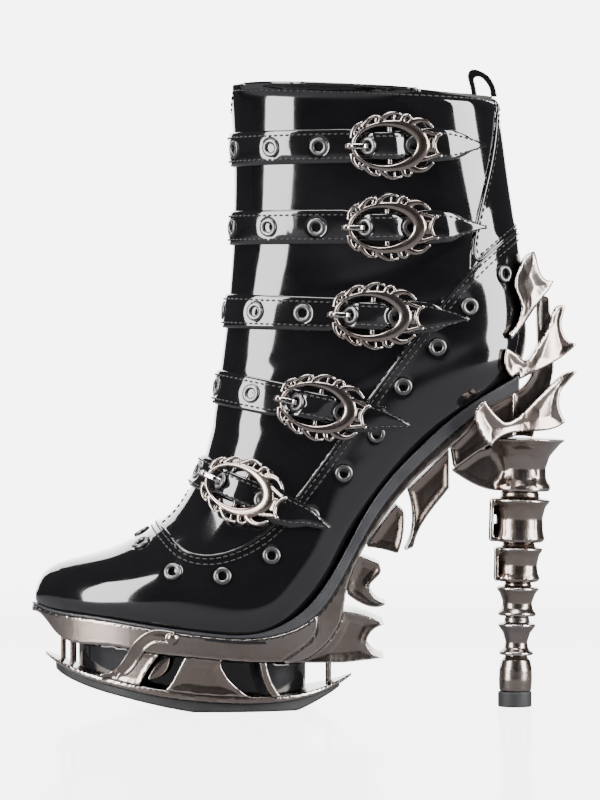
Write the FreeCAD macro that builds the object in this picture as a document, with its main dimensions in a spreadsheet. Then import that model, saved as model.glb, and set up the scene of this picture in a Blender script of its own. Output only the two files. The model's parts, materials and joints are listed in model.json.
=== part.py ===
import FreeCAD, Part
import math
import os
import Sketcher
from FreeCAD import Placement, Rotation, Vector

# A left high-heeled ankle boot in its own frame, millimetres.
# The origin is the centre of the heel tip's flat underside, +Z is up, the toe points along -X,
# -Y is the outer (lateral) side and +Y the inner side with the zip.

doc = FreeCAD.newDocument("buckled_boot")
sheet = doc.addObject("Spreadsheet::Sheet", "Dimensions")
filled_rows = 0


def put(alias, value):
    """Write one driving dimension into the sheet under its alias."""
    global filled_rows
    filled_rows += 1
    cell = "B%d" % filled_rows
    sheet.set("A%d" % filled_rows, alias)
    sheet.set(cell, str(value))
    sheet.setAlias(cell, alias)


def get(alias):
    """Read a driving dimension back as a number."""
    return float(sheet.get(alias))


# --- driving dimensions -------------------------------------------------------------------------

# Sections of the last, toe to collar: the instep point and the sole point of each section, its
# half width, how square its sole side is and how far down the section its widest place lies.
LAST_SECTIONS = (
    ("tip", -216.0, 51.0, -216.0, 47.0, 3.5, 2.2, 0.55),
    ("cap", -212.5, 60.0, -212.0, 43.0, 11.5, 2.6, 0.58),
    ("toe", -203.0, 65.5, -203.0, 41.0, 21.0, 3.4, 0.62),
    ("box", -182.0, 71.5, -182.0, 38.5, 32.5, 4.2, 0.66),
    ("ball", -161.0, 83.0, -148.0, 33.0, 40.0, 4.6, 0.68),
    ("tread", -149.5, 94.0, -112.0, 31.5, 40.0, 4.6, 0.66),
    ("waist", -141.0, 109.5, -88.0, 50.0, 36.0, 4.0, 0.62),
    ("arch", -135.8, 131.0, -67.0, 84.0, 32.5, 3.4, 0.58),
    ("instep", -132.0, 156.0, -37.0, 119.0, 31.0, 3.0, 0.56),
    ("ankle", -129.3, 180.0, -2.0, 144.5, 31.0, 2.6, 0.55),
    ("heel", -127.5, 201.0, 5.2, 168.0, 31.5, 2.3, 0.55),
    ("calf", -126.8, 217.0, 2.8, 198.0, 33.0, 2.2, 0.54),
    ("shaft", -126.6, 242.0, -2.5, 233.0, 35.3, 2.2, 0.53),
    ("collar", -128.3, 279.0, -8.0, 274.0, 38.0, 2.2, 0.53),
)
LAST_FIELDS = ("front_x", "front_z", "back_x", "back_z", "half_width", "square", "widest")
for section in LAST_SECTIONS:
    for field, value in zip(LAST_FIELDS, section[1:]):
        put("%s_%s" % (section[0], field), value)

for alias, value in (
    ("toe_swing", 5.0),            # the toe leans inwards by this much
    ("swing_start", -120.0),
    ("leather", 1.5),
    ("stiffener", 0.9),
    ("lining_depth", 2.5),
    ("lining_thickness", 0.8),
    ("insole_thickness", 2.0),
    ("sock_thickness", 1.2),
    ("strap_width", 15.0),
    ("window_strap_width", 11.6),  # the strap curls narrower where it runs inside the buckle
    ("strap_thickness", 1.6),
    ("grommet_radius", 4.2),
    ("grommet_hole", 2.2),
    ("grommet_flange", 0.6),
    ("recess_depth", 0.4),
    ("eyelet_radius", 4.0),
    ("eyelet_hole", 1.9),
    ("eyelet_flange", 0.8),
    ("chape_width", 12.5),
    ("chape_length", 26.0),
    ("chape_thickness", 1.1),
    ("bar_height", 2.3),
    ("bar_radius", 1.1),
    ("ring_length", 34.6),
    ("ring_height", 22.0),
    ("window_length", 27.0),
    ("window_height", 17.5),
    ("window_shift", -1.8),
    ("ring_bottom", 4.2),
    ("ring_thickness", 2.2),
    ("fringe_thickness", 1.3),
    ("prong_width", 2.0),
    ("prong_thickness", 1.6),
    ("hole_ahead", 8.6),           # prong hole ahead of the bar
    ("rear_grommet", 10.6),        # first free grommet behind the bar
    ("grommet_pitch", 22.5),
    ("zip_x", -50.0),
    ("zip_low", 164.0),
    ("zip_high", 268.0),
    ("zip_gap", 11.0),
    ("tooth_width", 4.6),
    ("tooth_pitch", 2.6),
    ("tooth_thickness", 1.6),
    ("dowel_radius", 4.0),
    ("bore_radius", 4.1),
    ("lean", 0.024),               # the heel column leans back by this slope
    ("heel_tip_radius", 7.6),
    ("heel_tip_height", 6.8),
    ("dowel_top", 121.0),
):
    put(alias, value)
doc.recompute()

SIDE = 160.0                       # half depth of the cutting prisms, clear of the whole boot


# --- drawing helpers ----------------------------------------------------------------------------

def side_vectors(points):
    return [Vector(x, 0, z) for x, z in points]


def smooth_edge(points):
    """An edge through side-view points: a line for two points, else a spline."""
    vectors = side_vectors(points)
    if len(vectors) == 2:
        return Part.LineSegment(vectors[0], vectors[1]).toShape()
    curve = Part.BSplineCurve()
    curve.interpolate(vectors)
    return curve.toShape()


def side_prism(strokes, low=-SIDE, high=SIDE):
    """A prism along Y from side-view strokes; each stroke starts where the last one ended."""
    wire = Part.Wire([smooth_edge(stroke) for stroke in strokes])
    face = Part.Face(wire)
    face.translate(Vector(0, low, 0))
    return face.extrude(Vector(0, high - low, 0))


def band_prism(upper, lower, low=-SIDE, high=SIDE):
    """A side prism between two edges that both run from the toe towards the heel."""
    back = list(reversed(lower))
    strokes = [upper, [upper[-1], back[0]], back, [back[-1], upper[0]]]
    return side_prism(strokes, low, high)


def shifted(points, distance):
    """Side-view points moved square to their own line; positive is up and forwards."""
    moved = []
    for index, (x, z) in enumerate(points):
        ahead = points[min(index + 1, len(points) - 1)]
        behind = points[max(index - 1, 0)]
        run_x, run_z = ahead[0] - behind[0], ahead[1] - behind[1]
        length = math.hypot(run_x, run_z)
        moved.append((x - run_z / length * distance, z + run_x / length * distance))
    return moved


def swing(x):
    """Sideways lean of the boot's centre line, growing towards the toe."""
    start = get("swing_start")
    if x >= start:
        return 0.0
    reach = start - get("tip_front_x")
    return get("toe_swing") * ((start - x) / reach) ** 2


def plan_prism(halves, low=-5.0, high=320.0):
    """A vertical prism from half widths along X, mirrored about the centre line."""
    one = [Vector(x, half + swing(x), low) for x, half in halves]
    two = [Vector(x, -half + swing(x), low) for x, half in halves if half > 0]
    loop = one + list(reversed(two))
    curve = Part.BSplineCurve()
    curve.interpolate(loop, PeriodicFlag=True)
    face = Part.Face(Part.Wire(curve.toShape()))
    return face.extrude(Vector(0, 0, high - low))


def show(shape, label, placement=None):
    """Add one finished shape to the document under its own label."""
    if shape.ShapeType == "Compound" and len(shape.Solids) == 1:
        shape = shape.Solids[0]
    feature = doc.addObject("Part::Feature", label)
    feature.Label = label
    feature.Shape = shape
    if placement is not None:
        feature.Placement = placement
    nodes.append(feature)
    return feature


nodes = []

# --- the last -----------------------------------------------------------------------------------

AROUND = 36                        # points round each section
ROWS = 34                          # even rows from the toe to the collar


def last_point(values, grow, turn):
    """A point of one section; turn runs 0 to 1 from the back round the inner side to the back."""
    front_x, front_z, back_x, back_z, half_width, square, widest = values
    chord_x, chord_z = back_x - front_x, back_z - front_z
    chord = math.hypot(chord_x, chord_z)
    angle = math.pi + 2 * math.pi * turn
    ahead, aside = math.cos(angle), -math.sin(angle)
    power = 2.0 if ahead >= 0 else square
    reach = widest if ahead >= 0 else 1 - widest
    along = widest - math.copysign(reach * abs(ahead) ** (2 / power), ahead)
    distance = along * (chord + 2 * grow) - grow
    x = front_x + chord_x / chord * distance
    z = front_z + chord_z / chord * distance
    side = math.copysign(abs(aside) ** (2 / power), aside)
    return Vector(x, (half_width + grow) * side + swing(x), z)


def last_rows(begin):
    """Even rows along one smooth run through the sheet's sections, from a place near the toe."""
    rows = []
    for section in LAST_SECTIONS:
        rows.append([get("%s_%s" % (section[0], field)) for field in LAST_FIELDS])
    places = [0.0]
    for row, after in zip(rows, rows[1:]):
        front = math.hypot(after[0] - row[0], after[1] - row[1])
        back = math.hypot(after[2] - row[2], after[3] - row[3])
        places.append(places[-1] + (front + back) / 2)
    slopes = []
    for index in range(len(rows)):
        ahead, behind = min(index + 1, len(rows) - 1), max(index - 1, 0)
        run = places[ahead] - places[behind]
        slopes.append([(rows[ahead][k] - rows[behind][k]) / run for k in range(7)])
    even = []
    for step in range(ROWS):
        place = begin + (places[-1] - begin) * step / (ROWS - 1)
        index = max(k for k in range(len(places) - 1) if places[k] <= place)
        span = places[index + 1] - places[index]
        t = (place - places[index]) / span
        row = []
        for k in range(7):
            start, end = rows[index][k], rows[index + 1][k]
            pull_in, pull_out = slopes[index][k] * span, slopes[index + 1][k] * span
            bend = (2 * t ** 3 - 3 * t ** 2 + 1) * start + (3 * t ** 2 - 2 * t ** 3) * end
            row.append(bend + (t ** 3 - 2 * t ** 2 + t) * pull_in + (t ** 3 - t ** 2) * pull_out)
        even.append(row)
    return even


def last_surface(grow, raised=0):
    """The last's skin grown by an amount; raised adds rows above the collar for a clean cut."""
    rows = last_rows(max(0.0, -2.4 * grow))
    for extra in range(raised):
        rows.append([2 * last - before for last, before in zip(rows[-1], rows[-2])])
    grid = [[last_point(row, grow, turn / AROUND) for turn in range(AROUND + 1)] for row in rows]
    surface = Part.BSplineSurface()
    surface.interpolate(grid)
    surface.setVPeriodic()
    return surface


def last_solid(grow, raised=0):
    side = last_surface(grow, raised).toShape()
    rims = [Part.Face(Part.Wire([edge])) for edge in side.Edges if edge.Closed]
    shell = Part.makeShell([side] + rims)
    shell.sewShape()
    solid = Part.makeSolid(Part.Shell(shell.Faces))
    if solid.Volume < 0:
        solid.reverse()
    return solid


skin = last_surface(0.0)
LOW_U, HIGH_U = skin.bounds()[0], skin.bounds()[1]

# --- side-view lines of the boot ----------------------------------------------------------------

# Lower edge of the leather, toe to heel, and the lower edge of the rand under it.
FEATHER = ((-219, 48), (-208, 44.5), (-190, 42.5), (-165, 39), (-140, 35.8), (-117, 35),
           (-97, 43.5), (-80, 65), (-63.5, 94.5), (-41, 119.5), (-17.5, 138.5), (-2, 147.5),
           (12, 158))
RAND_FOOT = ((-219, 46.8), (-208, 43.2), (-190, 41.2), (-165, 37.6), (-140, 34.3), (-116, 33.2),
             (-92.5, 40.5), (-76, 63), (-59.5, 91.5), (-38, 115), (-14.5, 134), (1.5, 143),
             (15, 152))
# Seam between the foot part and the shaft: from the vamp point over the instep up to the heel.
VAMP_SEAM = ((-176, 103), (-161, 85), (-155, 78.5), (-148, 72), (-137.5, 69.7), (-124, 73),
             (-113, 79.5), (-97, 97), (-54, 155.5), (-27, 189.5), (-16, 201), (0.5, 215),
             (14, 227.5))
BACK_SEAM = ((-9.5, 305), (-9.5, 272), (-10.2, 257), (-13.5, 238.5), (-19.2, 214), (-20.2, 190))
BOX_TOP = 320.0
FAR_LEFT, FAR_RIGHT = -260.0, 60.0

# Plan of the sole: half widths from the toe to the heel.
SOLE_PLAN = ((-217.5, 0), (-214, 9), (-205, 19), (-190, 28.5), (-170, 35.2), (-148, 38),
             (-125, 37.5), (-104, 34), (-84, 28.5), (-60, 24), (-35, 22), (-12, 20), (16, 18))


def widened(halves, amount):
    return [(x, max(half + amount, 0.0)) for x, half in halves]


def over(line, tall=BOX_TOP):
    """Everything above a line that runs from the toe to the heel."""
    return side_prism([line, [line[-1], (line[-1][0], tall)],
                       [(line[-1][0], tall), (line[0][0], tall)],
                       [(line[0][0], tall), line[0]]])


def zip_line():
    """The zip's low and high middle points and its outward direction, on the inner side."""
    ends = []
    for height in (get("zip_low"), get("zip_high")):
        ray = Part.makeLine(Vector(get("zip_x"), 5, height), Vector(get("zip_x"), 90, height))
        hit = skin.toShape().distToShape(ray)[1][0][0]
        ends.append(hit)
    along = (ends[1] - ends[0]).normalize()
    outward = Vector(1, 0, 0).cross(along)
    if outward.y < 0:
        outward = outward * -1
    return ends[0], ends[1], along, outward


ZIP_LOW, ZIP_HIGH, ZIP_ALONG, ZIP_OUT = zip_line()
ZIP_LENGTH = (ZIP_HIGH - ZIP_LOW).Length


def in_zip_frame(shape):
    """From local axes (x across, y up along the zip, z outward) to the boot."""
    across = ZIP_ALONG.cross(ZIP_OUT)
    matrix = FreeCAD.Matrix(across.x, ZIP_ALONG.x, ZIP_OUT.x, ZIP_LOW.x,
                            across.y, ZIP_ALONG.y, ZIP_OUT.y, ZIP_LOW.y,
                            across.z, ZIP_ALONG.z, ZIP_OUT.z, ZIP_LOW.z, 0, 0, 0, 1)
    return shape.transformed(matrix)


def zip_slot(gap, low=-2.3, tall=60.0):
    """The room that the zip takes in the leather, open upwards past the collar."""
    return in_zip_frame(Part.makeBox(gap, ZIP_LENGTH + tall, 30, Vector(-gap / 2, low, -15)))


# --- the leather upper --------------------------------------------------------------------------

def skin_layer(outer, inner):
    """A hollow layer of the last between two depths, open at the collar."""
    return last_solid(outer).cut(last_solid(inner, 2))


leather = skin_layer(0.0, -get("leather")).common(over(FEATHER))
above_seam = over(VAMP_SEAM)
lateral_back = side_prism([BACK_SEAM, [BACK_SEAM[-1], (FAR_RIGHT, 190)],
                           [(FAR_RIGHT, 190), (FAR_RIGHT, 305)],
                           [(FAR_RIGHT, 305), BACK_SEAM[0]]], -SIDE, 1)
medial_back = Part.makeBox(100, SIDE, 200, Vector(get("zip_x"), 0, 120))
behind_seams = lateral_back.fuse(medial_back)
shaft = leather.common(above_seam).cut(zip_slot(get("zip_gap")))


def eyelet_points():
    """Side-view places of the eyelets that follow the foot part's top seam."""
    return ((-5.6, 194.5), (-21.6, 180), (-35.8, 162), (-51, 144.5), (-63, 123.5), (-77.4, 106),
            (-92, 87), (-109.4, 69.8), (-131, 60.8), (-153, 62.6), (-167.4, 74.5))


def surface_spot(x, z, side):
    """Point and outward direction on the leather at a side-view place; side -1 is outer."""
    ray = Part.makeLine(Vector(x, swing(x), z), Vector(x, side * 90, z))
    point = skin.toShape().distToShape(ray)[1][0][0]
    u, v = skin.parameter(point)
    outward = skin.normal(u, v)
    if outward.y * side < 0:
        outward = outward * -1
    return point, outward


def ring(outer, inner, low, high):
    tube = Part.makeCylinder(outer, high - low, Vector(0, 0, low))
    return tube.cut(Part.makeCylinder(inner, high - low, Vector(0, 0, low)))


def standing(shape, point, outward):
    """Stand a shape drawn on the XY plane at a point so that its Z faces outward."""
    placed = shape.copy()
    placed.Placement = Placement(point, Rotation(Vector(0, 0, 1), outward))
    return placed


eyelet_spots = [surface_spot(x, z, side) for x, z in eyelet_points() for side in (-1, 1)]
FRONT_EYELET = (-168.0, 79.0)
front_point = skin.value(skin.parameter(Vector(FRONT_EYELET[0], swing(-168), FRONT_EYELET[1]))[0],
                         0.5)
front_u, front_v = skin.parameter(front_point)
front_out = skin.normal(front_u, front_v)
if front_out.z < 0:
    front_out = front_out * -1
eyelet_spots.append((front_point, front_out))

hole_pins = [standing(Part.makeCylinder(get("eyelet_hole") + 0.5, 12, Vector(0, 0, -6)), *spot)
             for spot in eyelet_spots]
foot_part = leather.cut(above_seam).cut(Part.makeCompound(hole_pins))
foot_part = foot_part.cut(zip_slot(get("zip_gap")))
show(foot_part, "foot_part")
show(shaft.cut(behind_seams), "shaft_front")
back_pieces = shaft.common(behind_seams).Solids
show(sorted(back_pieces, key=lambda solid: solid.Volume)[-1], "shaft_back")

flange = ring(get("eyelet_radius"), get("eyelet_hole"), 0.15, 0.15 + get("eyelet_flange"))
barrel = ring(get("eyelet_hole") + 0.4, get("eyelet_hole"), -1.2, 0.15)
eyelet = flange.fuse(barrel)
show(Part.makeCompound([standing(eyelet, *spot) for spot in eyelet_spots]), "upper_eyelets")
eyelet_room = Part.makeCylinder(get("eyelet_radius") + 0.2, 2.0, Vector(0, 0, -0.5))
eyelet_rooms = Part.makeCompound([standing(eyelet_room, *spot) for spot in eyelet_spots])

# Between leather and lining sit the stiffeners of heel and toe, then the lining itself.
between = skin_layer(-get("leather") - 0.05, -get("leather") - 0.05 - get("stiffener"))
between = between.common(over(shifted(FEATHER, 0.3)))
heel_zone = side_prism([[(-46, 100), (-30, 160), (-12, 190)], [(-12, 190), (40, 192)],
                        [(40, 192), (40, 100)], [(40, 100), (-46, 100)]])
show(between.common(heel_zone), "counter_stiffener")
toe_zone = Part.makeBox(60, 2 * SIDE, 90, Vector(-235, -SIDE, 20))
show(between.common(toe_zone), "toe_puff")
lining_top = -get("lining_depth")
lining = skin_layer(lining_top, lining_top - get("lining_thickness"))
lining = lining.common(over(shifted(FEATHER, 0.3))).cut(zip_slot(get("zip_gap")))
show(lining, "lining")

# --- the bottom inside the boot -----------------------------------------------------------------

foot_space = last_solid(lining_top - get("lining_thickness") - 0.1, 2)
insole_top = 0.3 + get("insole_thickness")
sock_top = insole_top + 0.1 + get("sock_thickness")
INSOLE_RUN = FEATHER[1:-1]
insole = band_prism(shifted(INSOLE_RUN, insole_top), shifted(INSOLE_RUN, 0.3))
show(foot_space.common(insole), "insole_board")
sock = band_prism(shifted(INSOLE_RUN, sock_top), shifted(INSOLE_RUN, insole_top + 0.1))
show(foot_space.common(sock), "sock_lining")

sole_block = plan_prism(SOLE_PLAN)
inner_block = plan_prism(widened(SOLE_PLAN[1:], -7.0))
rand_band = band_prism(FEATHER, RAND_FOOT)
heel_end = Part.makeBox(60, 2 * SIDE, 120, Vector(1.0, -SIDE, 80))
rand = rand_band.common(sole_block).cut(inner_block).cut(heel_end)
show(rand, "rand")
SHANK_RUN = FEATHER[5:-1]
shank_half = 6.0
shank = band_prism(shifted(SHANK_RUN, -0.6), shifted(SHANK_RUN, -2.2), -shank_half, shank_half)
shank_zone = Part.makeBox(96, 2 * SIDE, 160, Vector(-106, -SIDE, 20))
shank = shank.common(shank_zone)
show(shank, "steel_shank")
filler_block = plan_prism(widened(SOLE_PLAN[1:], -7.2))
filler = rand_band.common(filler_block).cut(heel_end)
shank_room = band_prism(shifted(SHANK_RUN, 1.0), shifted(SHANK_RUN, -2.25),
                        -shank_half - 0.1, shank_half + 0.1)
shank_room = shank_room.common(Part.makeBox(96.4, 2 * SIDE, 160, Vector(-106.2, -SIDE, 20)))
show(filler.cut(shank_room), "bottom_filler")

# --- straps and buckles -------------------------------------------------------------------------

# Each strap: a place on its centre line, its slope in side view, where it is sewn on the inner
# side, the place of its buckle bar and of its point, and how high the point lies over the leather.
STRAPS = (
    (-130.0, 250.2, 0.012, -57.5, -57.2, -13.5, 0.35),
    (-130.0, 215.2, 0.000, -57.5, -58.3, -14.0, 0.35),
    (-132.0, 178.2, -0.035, -57.5, -64.5, -20.0, 0.35),
    (-134.0, 144.3, -0.200, -70.0, -88.5, -47.5, 1.3),
    (-145.0, 107.5, -0.420, -97.0, -122.0, -82.5, 1.3),
)
STRAP_STEPS = 90
BAND_STEPS = 72
# Height of the strap's underside over the leather against the distance behind the buckle bar.
STRAP_RISE = ((-60, 0.25), (-19, 0.25), (-16, 0.5), (-13.4, 0.8), (-11, 1.45), (-8.6, 3.7), (-6.5, 4.6),
              (-3, 4.75), (1, 4.75), (3.6, 4.0), (6.0, 2.2), (8.0, 1.5), (26, 1.5))
# Share of the full width against the distance behind the buckle bar: 0 is narrow, 1 is full.
STRAP_SPREAD = ((-17.0, 1.0), (-13.5, 0.0), (11.0, 0.0), (15.0, 1.0))
TIP_LENGTH = 16.0
TIP_CORNER = ((-1.5, 8.2), (TIP_LENGTH - 0.6, 0.3), (TIP_LENGTH + 4, 0.3), (TIP_LENGTH + 4, 12),
              (-1.5, 12), (-1.5, 8.2))


def rise(profile, distance):
    """Height read off a profile with an eased run between its points."""
    if distance <= profile[0][0]:
        return profile[0][1]
    for (start, low), (end, high) in zip(profile, profile[1:]):
        if distance <= end:
            t = (distance - start) / (end - start)
            return low + (high - low) * t
    return profile[-1][1]


def on_line(v, x0, z0, slope, offset):
    """The leather point at turn v that lies on a side-view line moved up by offset."""
    lift = offset * math.hypot(1, slope)
    low, high = LOW_U, HIGH_U
    for _ in range(26):
        middle = (low + high) / 2
        point = skin.value(middle, v)
        if point.z - (z0 + slope * (point.x - x0) + lift) < 0:
            low = middle
        else:
            high = middle
    return (low + high) / 2


def outward_at(u, v):
    direction = skin.normal(u, v)
    point = skin.value(u, v)
    middle = skin.value(u, 0.5) + skin.value(u, 0.0)
    if direction.dot(point - middle * 0.5) < 0:
        direction = direction * -1
    return direction


def faceted_solid(sections):
    """A closed solid of small triangles through rings of six points."""
    corners = []
    for one, two in zip(sections, sections[1:]):
        for k in range(6):
            ahead = (k + 1) % 6
            corners.append((one[k], one[ahead], two[ahead]))
            corners.append((one[k], two[ahead], two[k]))
    for end in (sections[0], sections[-1]):
        corners += [(end[0], end[1], end[4]), (end[0], end[4], end[5]),
                    (end[1], end[2], end[3]), (end[1], end[3], end[4])]
    faces = [Part.Face(Part.makePolygon([a, b, c, a])) for a, b, c in corners]
    shell = Part.makeShell(faces)
    shell.sewShape()
    solid = Part.makeSolid(Part.Shell(shell.Faces))
    if solid.Volume < 0:
        solid.reverse()
    return solid


class StrapRun:
    """One strap's run over the leather from the zip, round the front, to its point."""

    def __init__(self, strap):
        self.x0, self.z0, self.slope, sewn_x, self.bar_x, self.tip_x, self.tip_rise = strap
        start = self.turn_at(sewn_x, True)
        end = self.turn_at(self.tip_x, False)
        self.turns = [start + (end - start) * k / STRAP_STEPS for k in range(STRAP_STEPS + 1)]
        points = [self.point(v, 0.0)[0] for v in self.turns]
        self.places = [0.0]
        for one, two in zip(points, points[1:]):
            self.places.append(self.places[-1] + (two - one).Length)
        bar_turn = self.turn_at(self.bar_x, False)
        self.bar_place = self.place_of(bar_turn)

    def point(self, v, offset):
        u = on_line(v, self.x0, self.z0, self.slope, offset)
        return skin.value(u, v), outward_at(u, v)

    def turn_at(self, x, inner_side):
        low, high = (0.5, 0.02) if inner_side else (0.5, 0.98)
        for _ in range(30):
            middle = (low + high) / 2
            if self.point(middle, 0.0)[0].x < x:
                low = middle
            else:
                high = middle
        return (low + high) / 2

    def place_of(self, turn):
        share = (turn - self.turns[0]) / (self.turns[-1] - self.turns[0]) * STRAP_STEPS
        index = min(int(share), STRAP_STEPS - 1)
        part = share - index
        return self.places[index] * (1 - part) + self.places[index + 1] * part

    def turn_of(self, place):
        for index in range(STRAP_STEPS):
            if place <= self.places[index + 1] or index == STRAP_STEPS - 1:
                span = self.places[index + 1] - self.places[index]
                part = (place - self.places[index]) / span
                return self.turns[index] + (self.turns[index + 1] - self.turns[index]) * part

    def frame(self, place, lift=0.0):
        """Matrix whose X runs along the strap to its point, Y up across it and Z outward."""
        turn = self.turn_of(place)
        point, outward = self.point(turn, 0.0)
        ahead = self.point(self.turn_of(place + 1.0), 0.0)[0]
        along = ahead - self.point(self.turn_of(place - 1.0), 0.0)[0]
        along = (along - outward * along.dot(outward)).normalize()
        across = outward.cross(along)
        spot = point + outward * lift
        return FreeCAD.Matrix(along.x, across.x, outward.x, spot.x,
                              along.y, across.y, outward.y, spot.y,
                              along.z, across.z, outward.z, spot.z, 0, 0, 0, 1)

    def profile(self):
        end = self.places[-1] - self.bar_place
        return STRAP_RISE + ((max(end - TIP_LENGTH, 30.0), self.tip_rise), (end, self.tip_rise))

    def band(self, start, end, width, thickness, profile, steps):
        """A solid band over the leather between two places, its height from a profile."""
        sections = []
        for k in range(steps + 1):
            place = start + (end - start) * k / steps
            turn = self.turn_of(place)
            height = rise(profile, place - self.bar_place)
            spread = rise(STRAP_SPREAD, place - self.bar_place)
            wide = min(width, get("window_strap_width") * (1 - spread) + width * spread)
            low, high = [], []
            for share in (-0.5, 0.0, 0.5):
                point, outward = self.point(turn, share * wide)
                low.append(point + outward * height)
                high.append(point + outward * (height + thickness))
            sections.append(low + high[::-1])
        return faceted_solid(sections)


def ellipse_plate(length, height, shift, low, high):
    rim = Part.Ellipse(Vector(shift, 0, low), length / 2, height / 2).toShape()
    return Part.Face(Part.Wire([rim])).extrude(Vector(0, 0, high - low))


# Horns of the buckle's fringe, upper half: outer run and inner run of each, from root to root.
HORNS = (
    (((-16.9, 1.2), (-15.7, 7.0), (-11.5, 10.8)), ((-11.5, 10.8), (-13.4, 7.4), (-14.6, 4.0))),
    (((-11.6, 8.0), (-8.3, 12.2), (-3.6, 13.6)), ((-3.6, 13.6), (-5.4, 12.2), (-5.0, 9.6))),
    (((-5.8, 9.8), (-1.0, 13.7), (5.0, 14.5)), ((5.0, 14.5), (2.0, 13.2), (1.8, 10.2))),
    (((3.4, 10.0), (5.6, 13.0), (9.8, 13.2)), ((9.8, 13.2), (7.7, 11.6), (8.3, 8.8))),
    (((7.6, 9.0), (12.6, 11.6), (19.3, 8.6)), ((19.3, 8.6), (15.3, 8.5), (13.0, 6.0))),
    (((13.8, 5.0), (18.5, 6.4), (22.2, 3.8)), ((22.2, 3.8), (19.5, 3.6), (18.4, 0.0),
                                               (16.0, 0.0))),
)


def flat_outline(strokes, low, high):
    """A plate on the XY plane from strokes, closed back to its start."""
    edges = []
    for stroke in strokes:
        curve = Part.BSplineCurve()
        curve.interpolate([Vector(x, y, low) for x, y in stroke])
        edges.append(curve.toShape())
    first, last = strokes[0][0], strokes[-1][-1]
    edges.append(Part.LineSegment(Vector(last[0], last[1], low),
                                  Vector(first[0], first[1], low)).toShape())
    return Part.Face(Part.Wire(edges)).extrude(Vector(0, 0, high - low))


def buckle_frame():
    """The cast frame at its bar: crescent ring, centre bar on two feet and fringe of horns."""
    low, high = get("ring_bottom"), get("ring_bottom") + get("ring_thickness")
    frame = ellipse_plate(get("ring_length"), get("ring_height"), 0.0, low, high)
    frame = frame.cut(ellipse_plate(get("window_length"), get("window_height"),
                                    get("window_shift"), low - 1, high + 1))
    radius, height = get("bar_radius"), get("bar_height")
    reach = get("window_height") / 2 + 1.2
    bar = Part.makeCylinder(radius, 2 * reach, Vector(0, -reach, height), Vector(0, 1, 0))
    parts = [bar]
    for side in (-1, 1):
        foot = Part.makeBox(2 * radius, 1.8, low + 0.4 - (height - radius),
                            Vector(-radius, side * (reach - 0.6) - 0.9, height - radius))
        parts.append(foot)
        for outer, inner in HORNS:
            flip_outer = [(x, side * y) for x, y in outer]
            flip_inner = [(x, side * y) for x, y in inner]
            parts.append(flat_outline([flip_outer, flip_inner], low + 0.2,
                                      low + 0.2 + get("fringe_thickness")))
    return frame.multiFuse(parts).removeSplitter()


def buckle_prong():
    """The prong from its eye on the bar, up through the strap and over the front rim."""
    top = get("ring_bottom") + get("ring_thickness") + 0.12
    height, half = get("bar_height"), get("prong_width") / 2
    thick = get("prong_thickness")
    upper = [(-1.5, height + 0.9), (-4.5, 3.5), (-6.6, 3.5), (-8.0, 4.6), (-9.6, top - 0.3),
             (-11.5, top + thick - 0.1), (-14.0, top + thick), (-18.4, top + thick)]
    lower = [(-20.2, top + 0.1), (-17.0, top), (-12.4, top - 0.1), (-10.9, top - 0.9),
             (-9.2, 4.2), (-7.6, 2.3), (-6.2, 1.85), (-1.2, 1.6)]
    edges = []
    for run in (upper, lower):
        curve = Part.BSplineCurve()
        curve.interpolate([Vector(x, -half, z) for x, z in run])
        edges.append(curve.toShape())
    edges.append(Part.LineSegment(Vector(upper[-1][0], -half, upper[-1][1]),
                                  Vector(lower[0][0], -half, lower[0][1])).toShape())
    edges.append(Part.LineSegment(Vector(lower[-1][0], -half, lower[-1][1]),
                                  Vector(upper[0][0], -half, upper[0][1])).toShape())
    arm = Part.Face(Part.Wire(Part.__sortEdges__(edges))).extrude(Vector(0, 2 * half, 0))
    eye = Part.makeCylinder(2.0, 2 * half, Vector(0, -half, height), Vector(0, 1, 0))
    hole = Part.makeCylinder(get("bar_radius") + 0.08, 2 * half + 2,
                             Vector(0, -half - 1, height), Vector(0, 1, 0))
    return arm.fuse(eye).cut(hole).removeSplitter()


frame_shape = buckle_frame()
prong_shape = buckle_prong()
# Each grommet is pressed into the leather: its flange lies in a recess round the hole.
recess_floor = get("strap_thickness") - get("recess_depth")
flange_low = recess_floor + 0.05
grommet = ring(get("grommet_radius"), get("grommet_hole"), flange_low,
               flange_low + get("grommet_flange"))
grommet = grommet.fuse(ring(get("grommet_hole") + 0.35, get("grommet_hole"), 0.1, flange_low))
flange_room = Part.makeCylinder(get("grommet_radius") + 0.2, 4.0, Vector(0, 0, recess_floor))
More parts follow.
